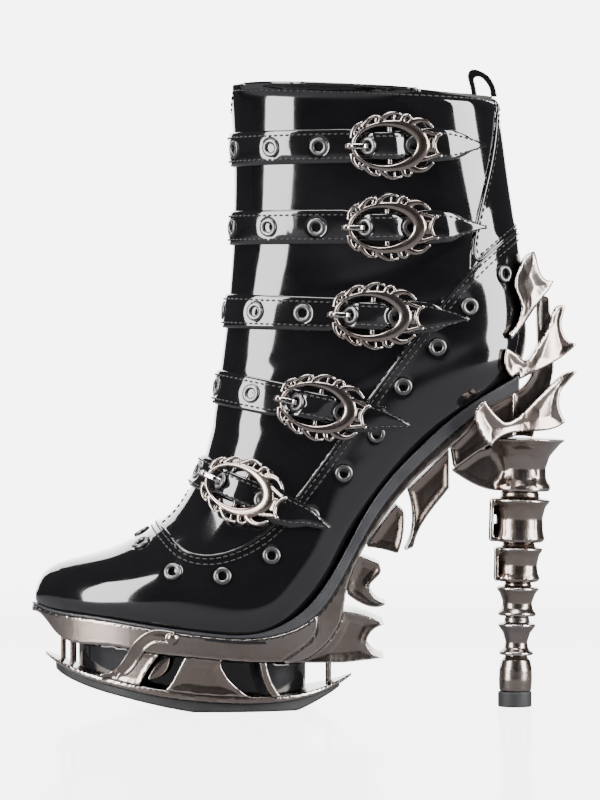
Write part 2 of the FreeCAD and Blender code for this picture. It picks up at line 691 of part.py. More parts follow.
# The prong's hole is worn long, so that the prong can lift and the frame can tilt in it.
worn_slot = Part.makeBox(6.4, get("prong_width") + 0.7, 12,
                         Vector(-12.4, -get("prong_width") / 2 - 0.35, -2))
grommets = []
chapes = []
for number, strap in enumerate(STRAPS, 1):
    run = StrapRun(strap)
    width, thickness = get("strap_width"), get("strap_thickness")
    profile = run.profile()
    band = run.band(0.0, run.places[-1], width, thickness, profile, BAND_STEPS)
    end = run.places[-1]
    tip = run.frame(end - TIP_LENGTH)
    for side in (-1, 1):
        corner = Part.makePolygon([Vector(x, side * y, -9) for x, y in TIP_CORNER])
        cutter = Part.Face(corner).extrude(Vector(0, 0, 18))
        band = band.cut(cutter.transformed(tip))
    places = [run.bar_place - get("hole_ahead") - k * get("grommet_pitch") for k in range(1, 5)]
    places = [place for place in places if place > 12]
    slot_here = worn_slot.transformed(run.frame(run.bar_place))
    prong_hole = run.bar_place - get("hole_ahead")
    for place in [prong_hole] + places + [run.bar_place + get("rear_grommet")]:
        distance = place - run.bar_place
        lift = rise(profile, distance)
        slope = rise(profile, distance + 1) - rise(profile, distance - 1)
        seat = run.frame(place, lift)
        tilt = FreeCAD.Matrix()
        tilt.rotateY(-math.atan2(slope, 2.0))
        matrix = seat.multiply(tilt)
        pin = Part.makeCylinder(get("grommet_hole") + 0.4, 12, Vector(0, 0, -6))
        band = band.cut(pin.fuse(flange_room).transformed(matrix))
        placed = grommet.transformed(matrix)
        if place == prong_hole:
            band = band.cut(slot_here)
            placed = placed.cut(slot_here)
        grommets.append(placed)
    band = sorted(band.Solids, key=lambda solid: solid.Volume)[-1]
    show(band, "strap_%d" % number)
    chape_rise = ((0, 0.2), (40, 0.2))
    tab = run.band(run.bar_place + 1.7, run.bar_place + get("chape_length"),
                   get("chape_width"), get("chape_thickness"), chape_rise, 16)
    bar_frame = run.frame(run.bar_place)
    half = get("chape_width") / 2
    loop = Part.makeCylinder(2.1, 2 * half, Vector(0, -half, get("bar_height")), Vector(0, 1, 0))
    root = Part.makeBox(4.5, 2 * half, get("chape_thickness") + 0.1, Vector(0.5, -half, 0.3))
    tab = tab.fuse(loop.fuse(root).transformed(bar_frame))
    room = Part.makeCylinder(get("bar_radius") + 0.08, 40, Vector(0, -20, get("bar_height")),
                             Vector(0, 1, 0))
    slit = Part.makeBox(5.9, 3.2, 8, Vector(-3.0, -1.6, -1))
    chapes.append(tab.cut(room.fuse(slit).transformed(bar_frame)).cut(eyelet_rooms))
    show(frame_shape.transformed(bar_frame), "buckle_frame_%d" % number)
    show(prong_shape.transformed(bar_frame), "buckle_prong_%d" % number)
    print("strap %d: length %.1f mm, bar at %s" % (number, end,
                                                  run.frame(run.bar_place, 2.3).multVec(Vector())))
show(Part.makeCompound(chapes), "chapes")
show(Part.makeCompound(grommets), "strap_grommets")

# --- zip ----------------------------------------------------------------------------------------

tape_depth = -0.8
tooth_low = tape_depth + 0.75
halves = []
for side in (-1, 1):
    left = 0.05 if side > 0 else -6.05
    halves.append(Part.makeBox(6.0, ZIP_LENGTH + 4, 0.7, Vector(left, -2, tape_depth)))
tape_room = get("zip_gap") / 2 - 0.15
tape = Part.makeCompound([half.common(Part.makeBox(2 * tape_room, 300, 9,
                                                   Vector(-tape_room, -20, -5)))
                          for half in halves])
show(in_zip_frame(tape), "zip_tapes")
teeth = []
count = int((ZIP_LENGTH - 4) / get("tooth_pitch"))
for index in range(count):
    side = -1 if index % 2 else 1
    middle = 2.0 + index * get("tooth_pitch")
    reach = get("tooth_width") / 2
    start = -reach if side < 0 else -reach + 0.9
    teeth.append(Part.makeBox(2 * reach - 0.9, get("tooth_pitch") * 0.72, get("tooth_thickness"),
                              Vector(start, middle, tooth_low)))
show(in_zip_frame(Part.makeCompound(teeth)), "zip_teeth")
stops = [Part.makeBox(5.6, 2.0, 2.0, Vector(-2.8, -1.6, tooth_low))]
for side in (-1, 1):
    stops.append(Part.makeBox(1.6, 2.6, 1.6, Vector(1.2 * side - 0.8, ZIP_LENGTH - 0.9,
                                                    tooth_low)))
show(in_zip_frame(Part.makeCompound(stops)), "zip_stops")

slider_low = ZIP_LENGTH - 13.5
slider_high = slider_low + 11.0
plate_low = tooth_low + get("tooth_thickness") + 0.35
plate = Part.makeBox(8.4, 11.0, 1.2, Vector(-4.2, slider_low, plate_low))
flanges = [Part.makeBox(1.2, 11.0, plate_low - tape_depth - 0.7 - 0.25 + 0.1,
                        Vector(side * 3.6 - 0.6, slider_low, tape_depth + 0.7 + 0.25))
           for side in (-1, 1)]
pin_y = slider_low + 7.6
pin_z = plate_low + 1.2 + 1.5
cheeks = [Part.makeBox(0.9, 3.2, 2.8, Vector(side * 2.1 - 0.45, pin_y - 1.6, plate_low + 1.1))
          for side in (-1, 1)]
pin = Part.makeCylinder(0.6, 4.2, Vector(-2.1, pin_y, pin_z), Vector(1, 0, 0))
show(in_zip_frame(plate.multiFuse(flanges + cheeks + [pin]).removeSplitter()), "zip_slider")
eye = Part.makeCylinder(1.25, 3.0, Vector(-1.5, pin_y, pin_z), Vector(1, 0, 0))
arm = Part.makeBox(3.0, 15.0, 1.0, Vector(-1.5, pin_y - 15.5, pin_z - 0.5))
pull_plate = Part.makeBox(5.4, 11.0, 1.0, Vector(-2.7, pin_y - 21.0, pin_z - 0.5))
pull = eye.multiFuse([arm, pull_plate])
pull = pull.cut(Part.makeCylinder(0.68, 5.0, Vector(-2.5, pin_y, pin_z), Vector(1, 0, 0)))
pull = pull.cut(Part.makeCylinder(1.3, 4.0, Vector(0, pin_y - 17.5, pin_z - 2)))
show(in_zip_frame(pull.removeSplitter()), "zip_puller")
pin_place = in_zip_frame(Part.Vertex(0, pin_y, pin_z)).Point
print("zip low %s along %s out %s length %.2f" % (ZIP_LOW, ZIP_ALONG, ZIP_OUT, ZIP_LENGTH))
print("puller pin at %s" % pin_place)

# --- pull loop at the back of the collar --------------------------------------------------------

loop_outer = [(-19.0, 266), (-19.2, 272), (-19.9, 276), (-21.0, 280.6), (-21.4, 284.6),
              (-19.8, 286.2), (-16.4, 285.8), (-12.4, 283.4), (-9.6, 279.2), (-8.4, 274),
              (-8.2, 266)]
loop_inner = [(-10.9, 266), (-11.2, 274), (-12.0, 278.4), (-14.0, 281.4), (-16.6, 283.1),
              (-18.5, 282.6), (-18.4, 280), (-17.6, 276), (-16.9, 272), (-16.6, 266)]
loop = side_prism([loop_outer, [loop_outer[-1], loop_inner[0]], loop_inner,
                   [loop_inner[-1], loop_outer[0]]], -5.5, 5.5)
collar_room = last_solid(0.1).cut(last_solid(lining_top - get("lining_thickness") - 0.1, 2))
loop = loop.cut(collar_room)
loop = sorted(loop.Solids, key=lambda solid: solid.Volume)[-1]
show(loop, "pull_loop")

# --- platform -----------------------------------------------------------------------------------

SLAB_FOOT = ((-216.5, 43), (-206, 34.3), (-184, 29.6), (-165, 27), (-140, 24.5), (-115, 22.6),
             (-96, 22.2))
SLAB_TOP = shifted(RAND_FOOT, -0.15)
RAIL_FOOT = [(-103, 21.5), (-88, 27.5), (-78.5, 41), (-76, 54), (-68.5, 72), (-57, 89.5),
             (-43, 105.5), (-30, 117), (-17, 128.5), (-6, 138)]
BASE_TOP = ((-211.5, 24.8), (-200, 19.5), (-182, 14.5), (-160, 10.5), (-142, 8.2), (-119, 7),
            (-103, 7), (-86, 10.4), (-73.5, 15.2))
BASE_FOOT = ((-211.5, 24.0), (-199, 16.8), (-178, 10.8), (-158, 7), (-140, 5.0), (-119, 4),
             (-103, 4.6), (-86, 8), (-73.5, 14.4))
# The tread's lower line runs below the ground where the sole stands, and is cut off level there.
SOLE_FOOT = ((-212.5, 21.5), (-203, 14.8), (-178, 6.8), (-158, 2.4), (-142, -0.3), (-118, -2.5),
             (-100, -0.6), (-86, 5.4), (-73, 12.6))
BASE_PLAN = ((-212, 0), (-209, 8), (-201, 17), (-186, 26), (-166, 32.5), (-146, 35), (-124, 34),
             (-104, 29), (-88, 20), (-78, 9), (-73, 0))
SOLE_TREAD = ((-204, 9), (-196, 16), (-184, 24), (-166, 30.5), (-146, 33), (-124, 32), (-104, 26),
              (-90, 17), (-80, 6))
slab_block = plan_prism(SOLE_PLAN)
split_line = side_prism([[(-230, 60), (-230, 10)], [(-230, 10), (-106, 10)],
                         [(-106, 10), (-106, 21), (-97, 28), (-90, 45)],
                         [(-90, 45), (-90, 60)], [(-90, 60), (-230, 60)]])
underside = band_prism(SLAB_TOP, [(-219, 42)] + list(SLAB_FOOT) + [(-80, 22.5), (-70, 30),
                       (-60, 60), (-40, 95), (-15, 118), (15, 140)])
slab = underside.common(split_line).common(slab_block)
show(slab, "platform_slab")
rail_block = plan_prism(widened(SOLE_PLAN[1:], -1.5))
rail = band_prism(SLAB_TOP[5:12], RAIL_FOOT).cut(split_line).common(rail_block)
lowered_rand = rand_band.copy()
lowered_rand.translate(Vector(0.06, 0, -0.08))
rail = rail.cut(lowered_rand)

HEEL_CORE = [[(-29, 117.5), (-19, 127.8), (-8, 138.4), (2, 143.0), (7.5, 150), (9.8, 165),
              (10.5, 186)], [(10.5, 186), (15, 184)], [(15, 184), (16.5, 168), (16.8, 150),
              (12.5, 136), (9, 126), (8, 121.2)], [(8, 121.2), (-4, 121.2), (-13, 117.5),
              (-27.5, 107.5)], [(-27.5, 107.5), (-29, 117.5)]]
under_leather = last_solid(0.25)
above_feather = over(shifted(RAND_FOOT, -0.15))
core_half, spine_half = 13.0, 6.0
heel_core = side_prism(HEEL_CORE, -core_half, core_half)
for side in (-1, 1):
    flank = Part.makeBox(40, core_half, 120, Vector(-1, spine_half if side > 0 else
                                                    -spine_half - core_half, 90))
    heel_core = heel_core.cut(flank)
heel_core = heel_core.cut(under_leather.common(above_feather))
heel_core = heel_core.cut(above_feather.common(sole_block)
                          .common(Part.makeBox(60, 60, 80, Vector(-59, -30, 90))))
heel_core = sorted(heel_core.Solids, key=lambda solid: solid.Volume)[-1]
rail = rail.cut(side_prism(HEEL_CORE))
rail = sorted(rail.Solids, key=lambda solid: solid.Volume)[-1]
show(rail, "arch_rail")

RIBS = (
    ([[(-30, 116.2), (-30, 99)], [(-30, 99), (-36, 91.5), (-42, 83), (-46, 72.5)],
      [(-46, 72.5), (-50.5, 70.5)], [(-50.5, 70.5), (-46.6, 79), (-46.2, 88), (-48.5, 98)],
      [(-48.5, 98), (-30, 116.2)]], 14.0),
    ([[(-53.5, 91.5), (-50.2, 88.5)], [(-50.2, 88.5), (-50.6, 78), (-53, 69.5)],
      [(-53, 69.5), (-60, 71.5), (-67, 72.5)], [(-67, 72.5), (-60.5, 82.5), (-53.5, 91.5)]], 15.0),
    ([[(-70.5, 69), (-61.2, 65)], [(-61.2, 65), (-62, 59.5), (-65.5, 55.5), (-64.5, 51.5),
      (-58, 47.6)], [(-58, 47.6), (-60, 46.2), (-67, 46.4), (-75.6, 51.6)],
      [(-75.6, 51.6), (-74, 61), (-70.5, 69)]], 17.0),
    ([[(-79.5, 44.6), (-70, 43), (-58.6, 38)], [(-58.6, 38), (-64.5, 35.6), (-67, 30.5),
      (-64.8, 26), (-59.4, 23.4)], [(-59.4, 23.4), (-76, 21.6)], [(-76, 21.6), (-101, 21.6)],
      [(-101, 21.6), (-90, 27), (-79.5, 44.6)]], 26.0),
)
rail_room = band_prism(SLAB_TOP[5:12], RAIL_FOOT).fuse(split_line)
for number, (strokes, half) in enumerate(RIBS, 1):
    rib = side_prism(strokes, -half, half).cut(rail_room)
    if number == len(RIBS):
        rib = rib.common(plan_prism(widened(SOLE_PLAN[1:], -2.5)))
    rib = sorted(rib.Solids, key=lambda solid: solid.Volume)[-1]
    show(rib, "arch_rib_%d" % number)

base_block = plan_prism(BASE_PLAN)
base = band_prism(BASE_TOP, BASE_FOOT).common(base_block)
show(base, "base_plate")
tread = band_prism(BASE_FOOT, SOLE_FOOT).common(plan_prism(SOLE_TREAD, 0.0))
outsole = sorted(tread.Solids, key=lambda solid: solid.Volume)[-1]
show(outsole, "outsole")
RIB_CLEAR = 21.4                   # height that stays clear under the last arch rib
gap_room = side_prism([SLAB_FOOT[:-1], [SLAB_FOOT[-2], (-106, RIB_CLEAR)],
                       [(-106, RIB_CLEAR), (-76, RIB_CLEAR)], [(-76, RIB_CLEAR), BASE_TOP[8]],
                       list(reversed(BASE_TOP)), [BASE_TOP[0], SLAB_FOOT[0]]])
# The room under the slab stays a hair clear of it and of the base plate below.
lowered_slab = underside.copy()
lowered_slab.translate(Vector(0, 0, -0.12))
raised_base = band_prism(BASE_TOP, BASE_FOOT)
raised_base.translate(Vector(0, 0, 0.05))
gap_room = gap_room.cut(lowered_slab).cut(raised_base)
core_plan = [(-194, 8), (-186, 15), (-168, 22), (-146, 25), (-124, 24), (-106, 18), (-96, 8)]
core = gap_room.common(plan_prism(core_plan))
core = sorted(core.Solids, key=lambda solid: solid.Volume)[-1]
show(core, "platform_core")
wall_plan = [(-207, 11), (-199, 19), (-184, 27.5), (-166, 34), (-146, 36.3), (-124, 35.6),
             (-104, 31), (-88, 21), (-77, 8)]
wall_zone = plan_prism(wall_plan).cut(plan_prism([(x, half - 6.5) for x, half in wall_plan[1:-1]]))


def wall_pair(strokes, label):
    """The same strut on both sides of the platform, between slab and base plate."""
    block = side_prism(strokes).common(gap_room).common(wall_zone)
    pair = [solid for solid in block.Solids if solid.Volume > 5]
    show(Part.makeCompound(pair), label)


wall_pair([[(-183, 12), (-177.5, 17), (-172.5, 25), (-167, 32), (-160, 36)],
           [(-160, 36), (-148.5, 36)], [(-148.5, 36), (-156, 29), (-161, 23.5), (-165, 17.5),
           (-170, 8)], [(-170, 8), (-183, 12)]], "front_struts")
wall_pair([[(-161, 6), (-153, 14.5), (-147.5, 25), (-141, 33)], [(-141, 33), (-112, 33)],
           [(-112, 33), (-112, 27)], [(-112, 27), (-124, 26.5), (-131.5, 23), (-127, 13.5),
           (-118, 7)], [(-118, 7), (-116, 3)], [(-116, 3), (-161, 6)]], "main_struts")
wall_pair([[(-115, 26), (-114, 18), (-111, 10), (-106, 4)], [(-106, 4), (-102, 4)],
           [(-102, 4), (-108, 11), (-110.8, 18), (-111.6, 26)],
           [(-111.6, 26), (-115, 26)]], "rear_struts")
posts = []
for x, y, radius in ((-203.5, 6.5, 0.9), (-199.0, 12.0, 0.9), (-84.0, 8.0, 1.3)):
    for side in (-1, 1):
        pole = Part.makeCylinder(radius, 60, Vector(x, side * y + swing(x), 0))
        posts.extend(pole.common(gap_room).Solids)
show(Part.makeCompound([post for post in posts if post.Volume > 1]), "platform_posts")

# --- heel column --------------------------------------------------------------------------------

# Each casting of the column is turned about the leaning dowel: radius and height of its outline.
COLUMN = (
    ("heel_cup", ((9.5, 97.1), (13.2, 97.3), (13.6, 99.5), (11.6, 103), (11.2, 107.5), (13, 113),
                  (17.2, 118.2), (19.6, 120.3), (19.4, 120.9), (11.4, 121.0))),
    ("vertebra_1", ((8.0, 73.9), (10.4, 74.2), (11.6, 75.6), (10.6, 80), (10.4, 85), (11.6, 90),
                    (13.6, 92.6), (13.2, 93.6), (8.8, 93.8), (8.4, 97.0))),
    ("vertebra_2", ((6.4, 56.1), (8.8, 56.4), (10.0, 57.8), (8.8, 60.6), (8.4, 64), (9.4, 68.6),
                    (11.0, 70.9), (10.6, 71.7), (7.4, 71.9), (7.2, 73.8))),
    ("vertebra_3", ((5.8, 40.6), (8.4, 41.0), (8.7, 42), (6.8, 44.6), (6.6, 47), (8.0, 51),
                    (9.6, 53.0), (9.2, 53.9), (6.0, 54.1), (6.0, 56.0))),
    ("vertebra_4", ((5.4, 23.1), (7.4, 23.3), (7.9, 24.3), (5.4, 26.4), (4.9, 29), (6.2, 33.4),
                    (8.5, 36.4), (8.3, 37.4), (5.6, 37.6), (5.6, 40.5))),
    ("heel_barrel", ((5.9, 6.9), (7.2, 7.1), (7.5, 12), (7.3, 17), (6.4, 21.0), (6.0, 21.4),
                     (5.2, 21.8), (5.2, 23.0))),
)
lean_angle = math.degrees(math.atan(get("lean")))
put("lean_angle", round(lean_angle, 3))
for name, outline in COLUMN:
    for index, (radius, height) in enumerate(outline):
        put("%s_radius_%d" % (name, index), radius)
        put("%s_height_%d" % (name, index), height)
doc.recompute()


def turned(label, count):
    """A PartDesign body whose outline is bound to the sheet and turned about the dowel line."""
    body = doc.addObject("PartDesign::Body", label)
    body.Label = label
    sketch = body.newObject("Sketcher::SketchObject", label + "_outline")
    plane = [item for item in body.Origin.OriginFeatures if item.Role == "XZ_Plane"][0]
    sketch.AttachmentSupport = [(plane, "")]
    sketch.MapMode = "FlatFace"
    bore = get("bore_radius")
    places = [(get("%s_radius_%d" % (label, k)), get("%s_height_%d" % (label, k)))
              for k in range(count)]
    places += [(bore, places[-1][1]), (bore, places[0][1])]
    total = len(places)
    for k in range(total):
        one, two = places[k], places[(k + 1) % total]
        sketch.addGeometry(Part.LineSegment(Vector(one[0], one[1], 0), Vector(two[0], two[1], 0)))
    for k in range(total):
        sketch.addConstraint(Sketcher.Constraint("Coincident", k, 2, (k + 1) % total, 1))
    for k, (radius, height) in enumerate(places):
        across = sketch.addConstraint(Sketcher.Constraint("DistanceX", -1, 1, k, 1, radius))
        upward = sketch.addConstraint(Sketcher.Constraint("DistanceY", -1, 1, k, 1, height))
        radius_from = "%s_radius_%d" % (label, k) if k < count else "bore_radius"
        height_from = "%s_height_%d" % (label, k if k < count else (count - 1) * (total - 1 - k))
        sketch.setExpression("Constraints[%d]" % across, "Dimensions." + radius_from)
        sketch.setExpression("Constraints[%d]" % upward, "Dimensions." + height_from)
    turn = body.newObject("PartDesign::Revolution", label + "_turned")
    turn.Profile = sketch
    turn.ReferenceAxis = (sketch, ["V_Axis"])
    turn.Angle = 360.0
    body.Placement = Placement(Vector(), Rotation(Vector(0, 1, 0), lean_angle))
    nodes.append(body)
    return body


columns = {}
for name, outline in COLUMN:
    columns[name] = turned(name, len(outline))
doc.recompute()
lean = Placement(Vector(), Rotation(Vector(0, 1, 0), lean_angle))

# The cup sweeps forward as a hook under the heel; the two upper vertebrae carry a front visor.
HOOK = [[(-28.6, 106.4), (-21, 113), (-12, 116.6), (-4, 117)], [(-4, 117), (-4, 98)],
        [(-4, 98), (-13, 98.2), (-21.5, 101.8), (-28.6, 106.4)]]
hook = side_prism(HOOK, -7.5, 7.5).cut(side_prism(HEEL_CORE))
cup = columns["heel_cup"].Shape.fuse(hook)
cup = cup.cut(Part.makeCylinder(get("bore_radius"), 160).transformed(lean.toMatrix()))
cup = sorted(cup.removeSplitter().Solids, key=lambda solid: solid.Volume)[-1]
nodes.remove(columns["heel_cup"])
columns["heel_cup"].Label = "heel_cup_turned_body"
show(cup, "heel_cup")


def with_visor(name, reach, low, high, half):
    """Adds the vertebra's squared front wall, open at its sides, to the turned body."""
    body = columns[name]
    wall = Part.makeBox(reach, 2 * half, high - low, Vector(-reach, -half, low))
    window = Part.makeBox(reach - 3.4, 2 * half + 2, high - low - 4.4,
                          Vector(-reach + 1.6, -half - 1, low + 1.8))
    wall = wall.cut(window).transformed(lean.toMatrix())
    shape = body.Shape.fuse(wall)
    shape = shape.cut(Part.makeCylinder(get("bore_radius"), 160).transformed(lean.toMatrix()))
    nodes.remove(body)
    body.Label = name + "_turned_body"
    show(shape.removeSplitter(), name)


with_visor("vertebra_1", 13.4, 74.4, 93.4, 7.0)
with_visor("vertebra_2", 10.8, 56.6, 71.6, 6.0)

# --- heel thorns --------------------------------------------------------------------------------

TAPER = ((-40, 34), (-26, 32), (-15, 28), (-5, 23), (3, 17.5), (9, 12), (15, 8), (22, 4.5),
         (29.5, 1.6))
THORNS = (
    [[(-2.5, 165.5), (3.5, 172.5), (9.5, 181.0), (14.5, 187)], [(14.5, 187), (17.3, 191.8)],
     [(17.3, 191.8), (12.2, 193), (9.8, 198.5), (8, 204.8)], [(8, 204.8), (4.5, 203), (0.6, 196.5),
     (-1.2, 190), (1.8, 180.5), (1.4, 176), (-3.6, 168)], [(-3.6, 168), (-2.5, 165.5)]],
    [[(-4.6, 161.6), (-5.8, 155.5), (-3.2, 149.3), (1.5, 147.6)], [(1.5, 147.6), (8, 150.6),
     (17, 155), (28, 163.7)], [(28, 163.7), (24, 164.4), (21, 169.5), (20.6, 173.4)],
     [(20.6, 173.4), (22.4, 180.4)], [(22.4, 180.4), (19, 180.6), (15, 172.5), (8.8, 161.2),
     (4.6, 156), (0.5, 158.5)], [(0.5, 158.5), (-4.6, 161.6)]],
    [[(-14.5, 138.2), (-18.4, 134.6), (-18.2, 127), (-11.6, 117.8)], [(-11.6, 117.8), (-5, 123),
     (6, 124.2), (17.5, 125.4), (22.6, 128.2)], [(22.6, 128.2), (20, 134), (20.5, 142.6)],
     [(20.5, 142.6), (28, 151.2)], [(28, 151.2), (23, 150.4), (15, 144), (7, 136.6), (1, 131),
     (-5.5, 128.4)], [(-5.5, 128.4), (-11, 133.4), (-14.5, 138.2)]],
)
taper_block = plan_prism(TAPER)
leather_room = under_leather.common(above_feather)
rand_room = rand_band.fuse(band_prism(shifted(FEATHER, 1.0), shifted(RAND_FOOT, 0.5)))
rand_room = rand_room.common(sole_block).common(Part.makeBox(90.4, 80, 200, Vector(-89.2, -40, 30)))
for number, strokes in enumerate(THORNS, 1):
    thorn = side_prism(strokes).common(taper_block).cut(leather_room).cut(rand_room)
    thorn = thorn.cut(heel_core).cut(cup).cut(rail)
    thorn = sorted(thorn.Solids, key=lambda solid: solid.Volume)[-1]
    show(thorn, "heel_thorn_%d" % number)
heel_core = heel_core.cut(rand_room).cut(cup).cut(rail)
heel_core = sorted(heel_core.Solids, key=lambda solid: solid.Volume)[-1]
show(heel_core, "heel_core")

# --- dowel and heel tip ---------------------------------------------------------------------------

dowel = doc.addObject("Part::Cylinder", "heel_dowel")
dowel.Label = "heel_dowel"
dowel.setExpression("Radius", "Dimensions.dowel_radius")
dowel.setExpression("Height", "Dimensions.dowel_top - Dimensions.heel_tip_height - 0.1")
tip = doc.addObject("Part::Cylinder", "heel_tip")
tip.Label = "heel_tip"
tip.setExpression("Radius", "Dimensions.heel_tip_radius")
tip.setExpression("Height", "Dimensions.heel_tip_height")
doc.recompute()
rise_to_tip = get("heel_tip_height") + 0.1
dowel.Placement = Placement(Vector(rise_to_tip * get("lean"), 0, rise_to_tip),
                            Rotation(Vector(0, 1, 0), lean_angle))
nodes.extend([dowel, tip])
doc.recompute()

# --- checks and files ---------------------------------------------------------------------------

os.makedirs("parts", exist_ok=True)
faults = [item.Label for item in doc.Objects
          if "Invalid" in item.State or "Error" in item.State]
labels = [node.Label for node in nodes]
assert not faults, "failed objects: %s" % faults
assert len(labels) == len(set(labels)), "two nodes share a name"
bad = [node.Label for node in nodes if node.Shape.isNull() or not node.Shape.isValid()]
assert not bad, "bad shapes: %s" % bad
for node in nodes:
    print("%-18s %2d solids %9.1f mm3" % (node.Label, len(node.Shape.Solids), node.Shape.Volume))
    node.Shape.exportStep("parts/%s.step" % node.Label)
print("%d nodes" % len(nodes))
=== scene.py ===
# %% [markdown]
# # A buckled platform boot, dressed around its CAD frame
# The frame holds every part at its true size. Here each leather, metal and rubber piece gets the
# surface that a maker would give it: rolled edges, stitches, cast rims and a finish of its own.
# The frame could be shown as it is, but a solid cut by a machine has knife edges, so most pieces
# are built again over it, and the frame's node is only read for its shape.

# %% Load the frame
import json
import math

import bpy
import numpy as np
from mathutils import Matrix, Vector
from mathutils.bvhtree import BVHTree
from mathutils.kdtree import KDTree


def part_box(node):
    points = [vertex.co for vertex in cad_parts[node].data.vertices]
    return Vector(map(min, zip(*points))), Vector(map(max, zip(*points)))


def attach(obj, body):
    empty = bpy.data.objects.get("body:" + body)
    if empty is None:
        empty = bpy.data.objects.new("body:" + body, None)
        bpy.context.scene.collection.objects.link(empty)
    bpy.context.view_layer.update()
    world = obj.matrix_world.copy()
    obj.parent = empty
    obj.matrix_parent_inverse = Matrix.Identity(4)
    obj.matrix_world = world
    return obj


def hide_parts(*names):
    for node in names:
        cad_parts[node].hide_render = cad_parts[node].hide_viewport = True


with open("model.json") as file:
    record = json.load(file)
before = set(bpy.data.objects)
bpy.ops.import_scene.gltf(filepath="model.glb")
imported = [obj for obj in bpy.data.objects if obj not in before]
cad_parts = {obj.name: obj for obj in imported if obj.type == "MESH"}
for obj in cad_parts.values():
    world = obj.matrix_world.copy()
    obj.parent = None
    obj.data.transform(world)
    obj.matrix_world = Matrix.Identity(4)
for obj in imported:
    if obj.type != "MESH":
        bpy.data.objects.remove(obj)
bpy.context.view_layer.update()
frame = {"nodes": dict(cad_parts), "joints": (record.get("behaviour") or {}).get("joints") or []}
MM = 0.001
chance = np.random.default_rng(7)

# %% [markdown]
# ## Small tools for meshes
# Three things come back all the time: reading a frame node's mesh, making a new object that rides
# on a body, and smoothing points along the edges of a mesh. Smoothing could be a modifier, but
# done on the points it can be mixed with other shaping, so it is a few lines of array work.


# %% Mesh tools
def read_mesh(mesh):
    """The points and the corner indices of the triangles of a mesh."""
    mesh.calc_loop_triangles()
    points = np.empty(len(mesh.vertices) * 3)
    mesh.vertices.foreach_get("co", points)
    corners = np.empty(len(mesh.loop_triangles) * 3, dtype=np.int32)
    mesh.loop_triangles.foreach_get("vertices", corners)
    return points.reshape(-1, 3), corners.reshape(-1, 3)


def read_nodes(*names):
    """Points and triangles of several frame nodes together."""
    all_points = []
    all_corners = []
    count = 0
    for name in names:
        points, corners = read_mesh(frame["nodes"][name].data)
        all_points.append(points)
        all_corners.append(corners + count)
        count += len(points)
    return np.vstack(all_points), np.vstack(all_corners)


def search_tree(*names):
    """A tree for rays and nearest points on frame nodes."""
    points, corners = read_nodes(*names)
    return BVHTree.FromPolygons(points.tolist(), corners.tolist())


def make_piece(name, points, faces, material, body="boot", slot=None, replaces=()):
    """A smooth shaded object from points and faces that rides on a body."""
    mesh = bpy.data.meshes.new(name)
    mesh.from_pydata([tuple(p) for p in points], [], [tuple(f) for f in faces])
    mesh.validate()
    mesh.shade_smooth()
    piece = bpy.data.objects.new(name, mesh)
    bpy.context.scene.collection.objects.link(piece)
    return finish_piece(piece, material, body, replaces)


def finish_piece(piece, material, body, replaces):
    """Gives a piece its material and its body, and hides the frame nodes that it stands for."""
    piece.data.materials.clear()
    piece.data.materials.append(material)
    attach(piece, body)
    if replaces:
        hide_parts(*replaces)
    return piece


def mesh_edges(mesh):
    ends = np.empty(len(mesh.edges) * 2, dtype=np.int32)
    mesh.edges.foreach_get("vertices", ends)
    return ends.reshape(-1, 2)


def neighbour_mean(values, ends):
    """For each point, the mean of the values at the points that it shares an edge with."""
    count = len(values)
    one, two = ends[:, 0], ends[:, 1]
    degree = np.bincount(one, minlength=count) + np.bincount(two, minlength=count)
    total = np.empty_like(values)
    for axis in range(values.shape[1]):
        total[:, axis] = np.bincount(one, values[two, axis], count)
        total[:, axis] += np.bincount(two, values[one, axis], count)
    return total / np.maximum(degree, 1)[:, None]


def relax(points, ends, rounds, shrink=0.5, grow=-0.52):
    """Smooths points without shrinking the shape: one step in, one step out."""
    for _ in range(rounds):
        points = points + shrink * (neighbour_mean(points, ends) - points)
        points = points + grow * (neighbour_mean(points, ends) - points)
    return points


def ease(share):
    """A smooth step from 0 to 1."""
    share = np.clip(share, 0.0, 1.0)
    return share * share * (3 - 2 * share)


# %% [markdown]
# ## Shader building blocks
# Every material here is made of nodes. The effects that several finishes share are node groups
# with named inputs: a brushed grain, a mask that reads the edge value stored on each mesh to paint
# a highlight on ridges and shade in hollows, and a soft mottling. A group is built once, and each
# material sets its own values on it.


# %% Shader tools
def put_node(tree, kind, settings=None, **inputs):
    """Adds a node; an input is a plain value or another node's output."""
    node = tree.nodes.new(kind)
    for key, value in (settings or {}).items():
        setattr(node, key, value)
    for key, value in inputs.items():
        socket = node.inputs[key.replace("_", " ")]
        if isinstance(value, bpy.types.NodeSocket):
            tree.links.new(value, socket)
        else:
            socket.default_value = value
    return node


def figure(tree, operation, *terms):
    """A math node on one, two or three terms."""
    node = tree.nodes.new("ShaderNodeMath")
    node.operation = operation
    for socket, term in zip(node.inputs, terms):
        if isinstance(term, bpy.types.NodeSocket):
            tree.links.new(term, socket)
        else:
            socket.default_value = term
    return node.outputs[0]


def span(tree, value, low, high, to_low, to_high):
    """Maps a value from one range to another and holds it there."""
    node = put_node(tree, "ShaderNodeMapRange", None, Value=value)
    for socket, bound in zip(node.inputs[1:5], (low, high, to_low, to_high)):
        socket.default_value = bound
    return node.outputs[0]


def blend_colours(tree, share, first, second):
    """Mixes two colours by a share."""
    node = tree.nodes.new("ShaderNodeMix")
    node.data_type = "RGBA"
    for socket, value in ((node.inputs[0], share), (node.inputs[6], first), (node.inputs[7], second)):
        if isinstance(value, bpy.types.NodeSocket):
            tree.links.new(value, socket)
        elif isinstance(value, float):
            socket.default_value = value
        else:
            socket.default_value = (*value, 1.0)
    return node.outputs[2]


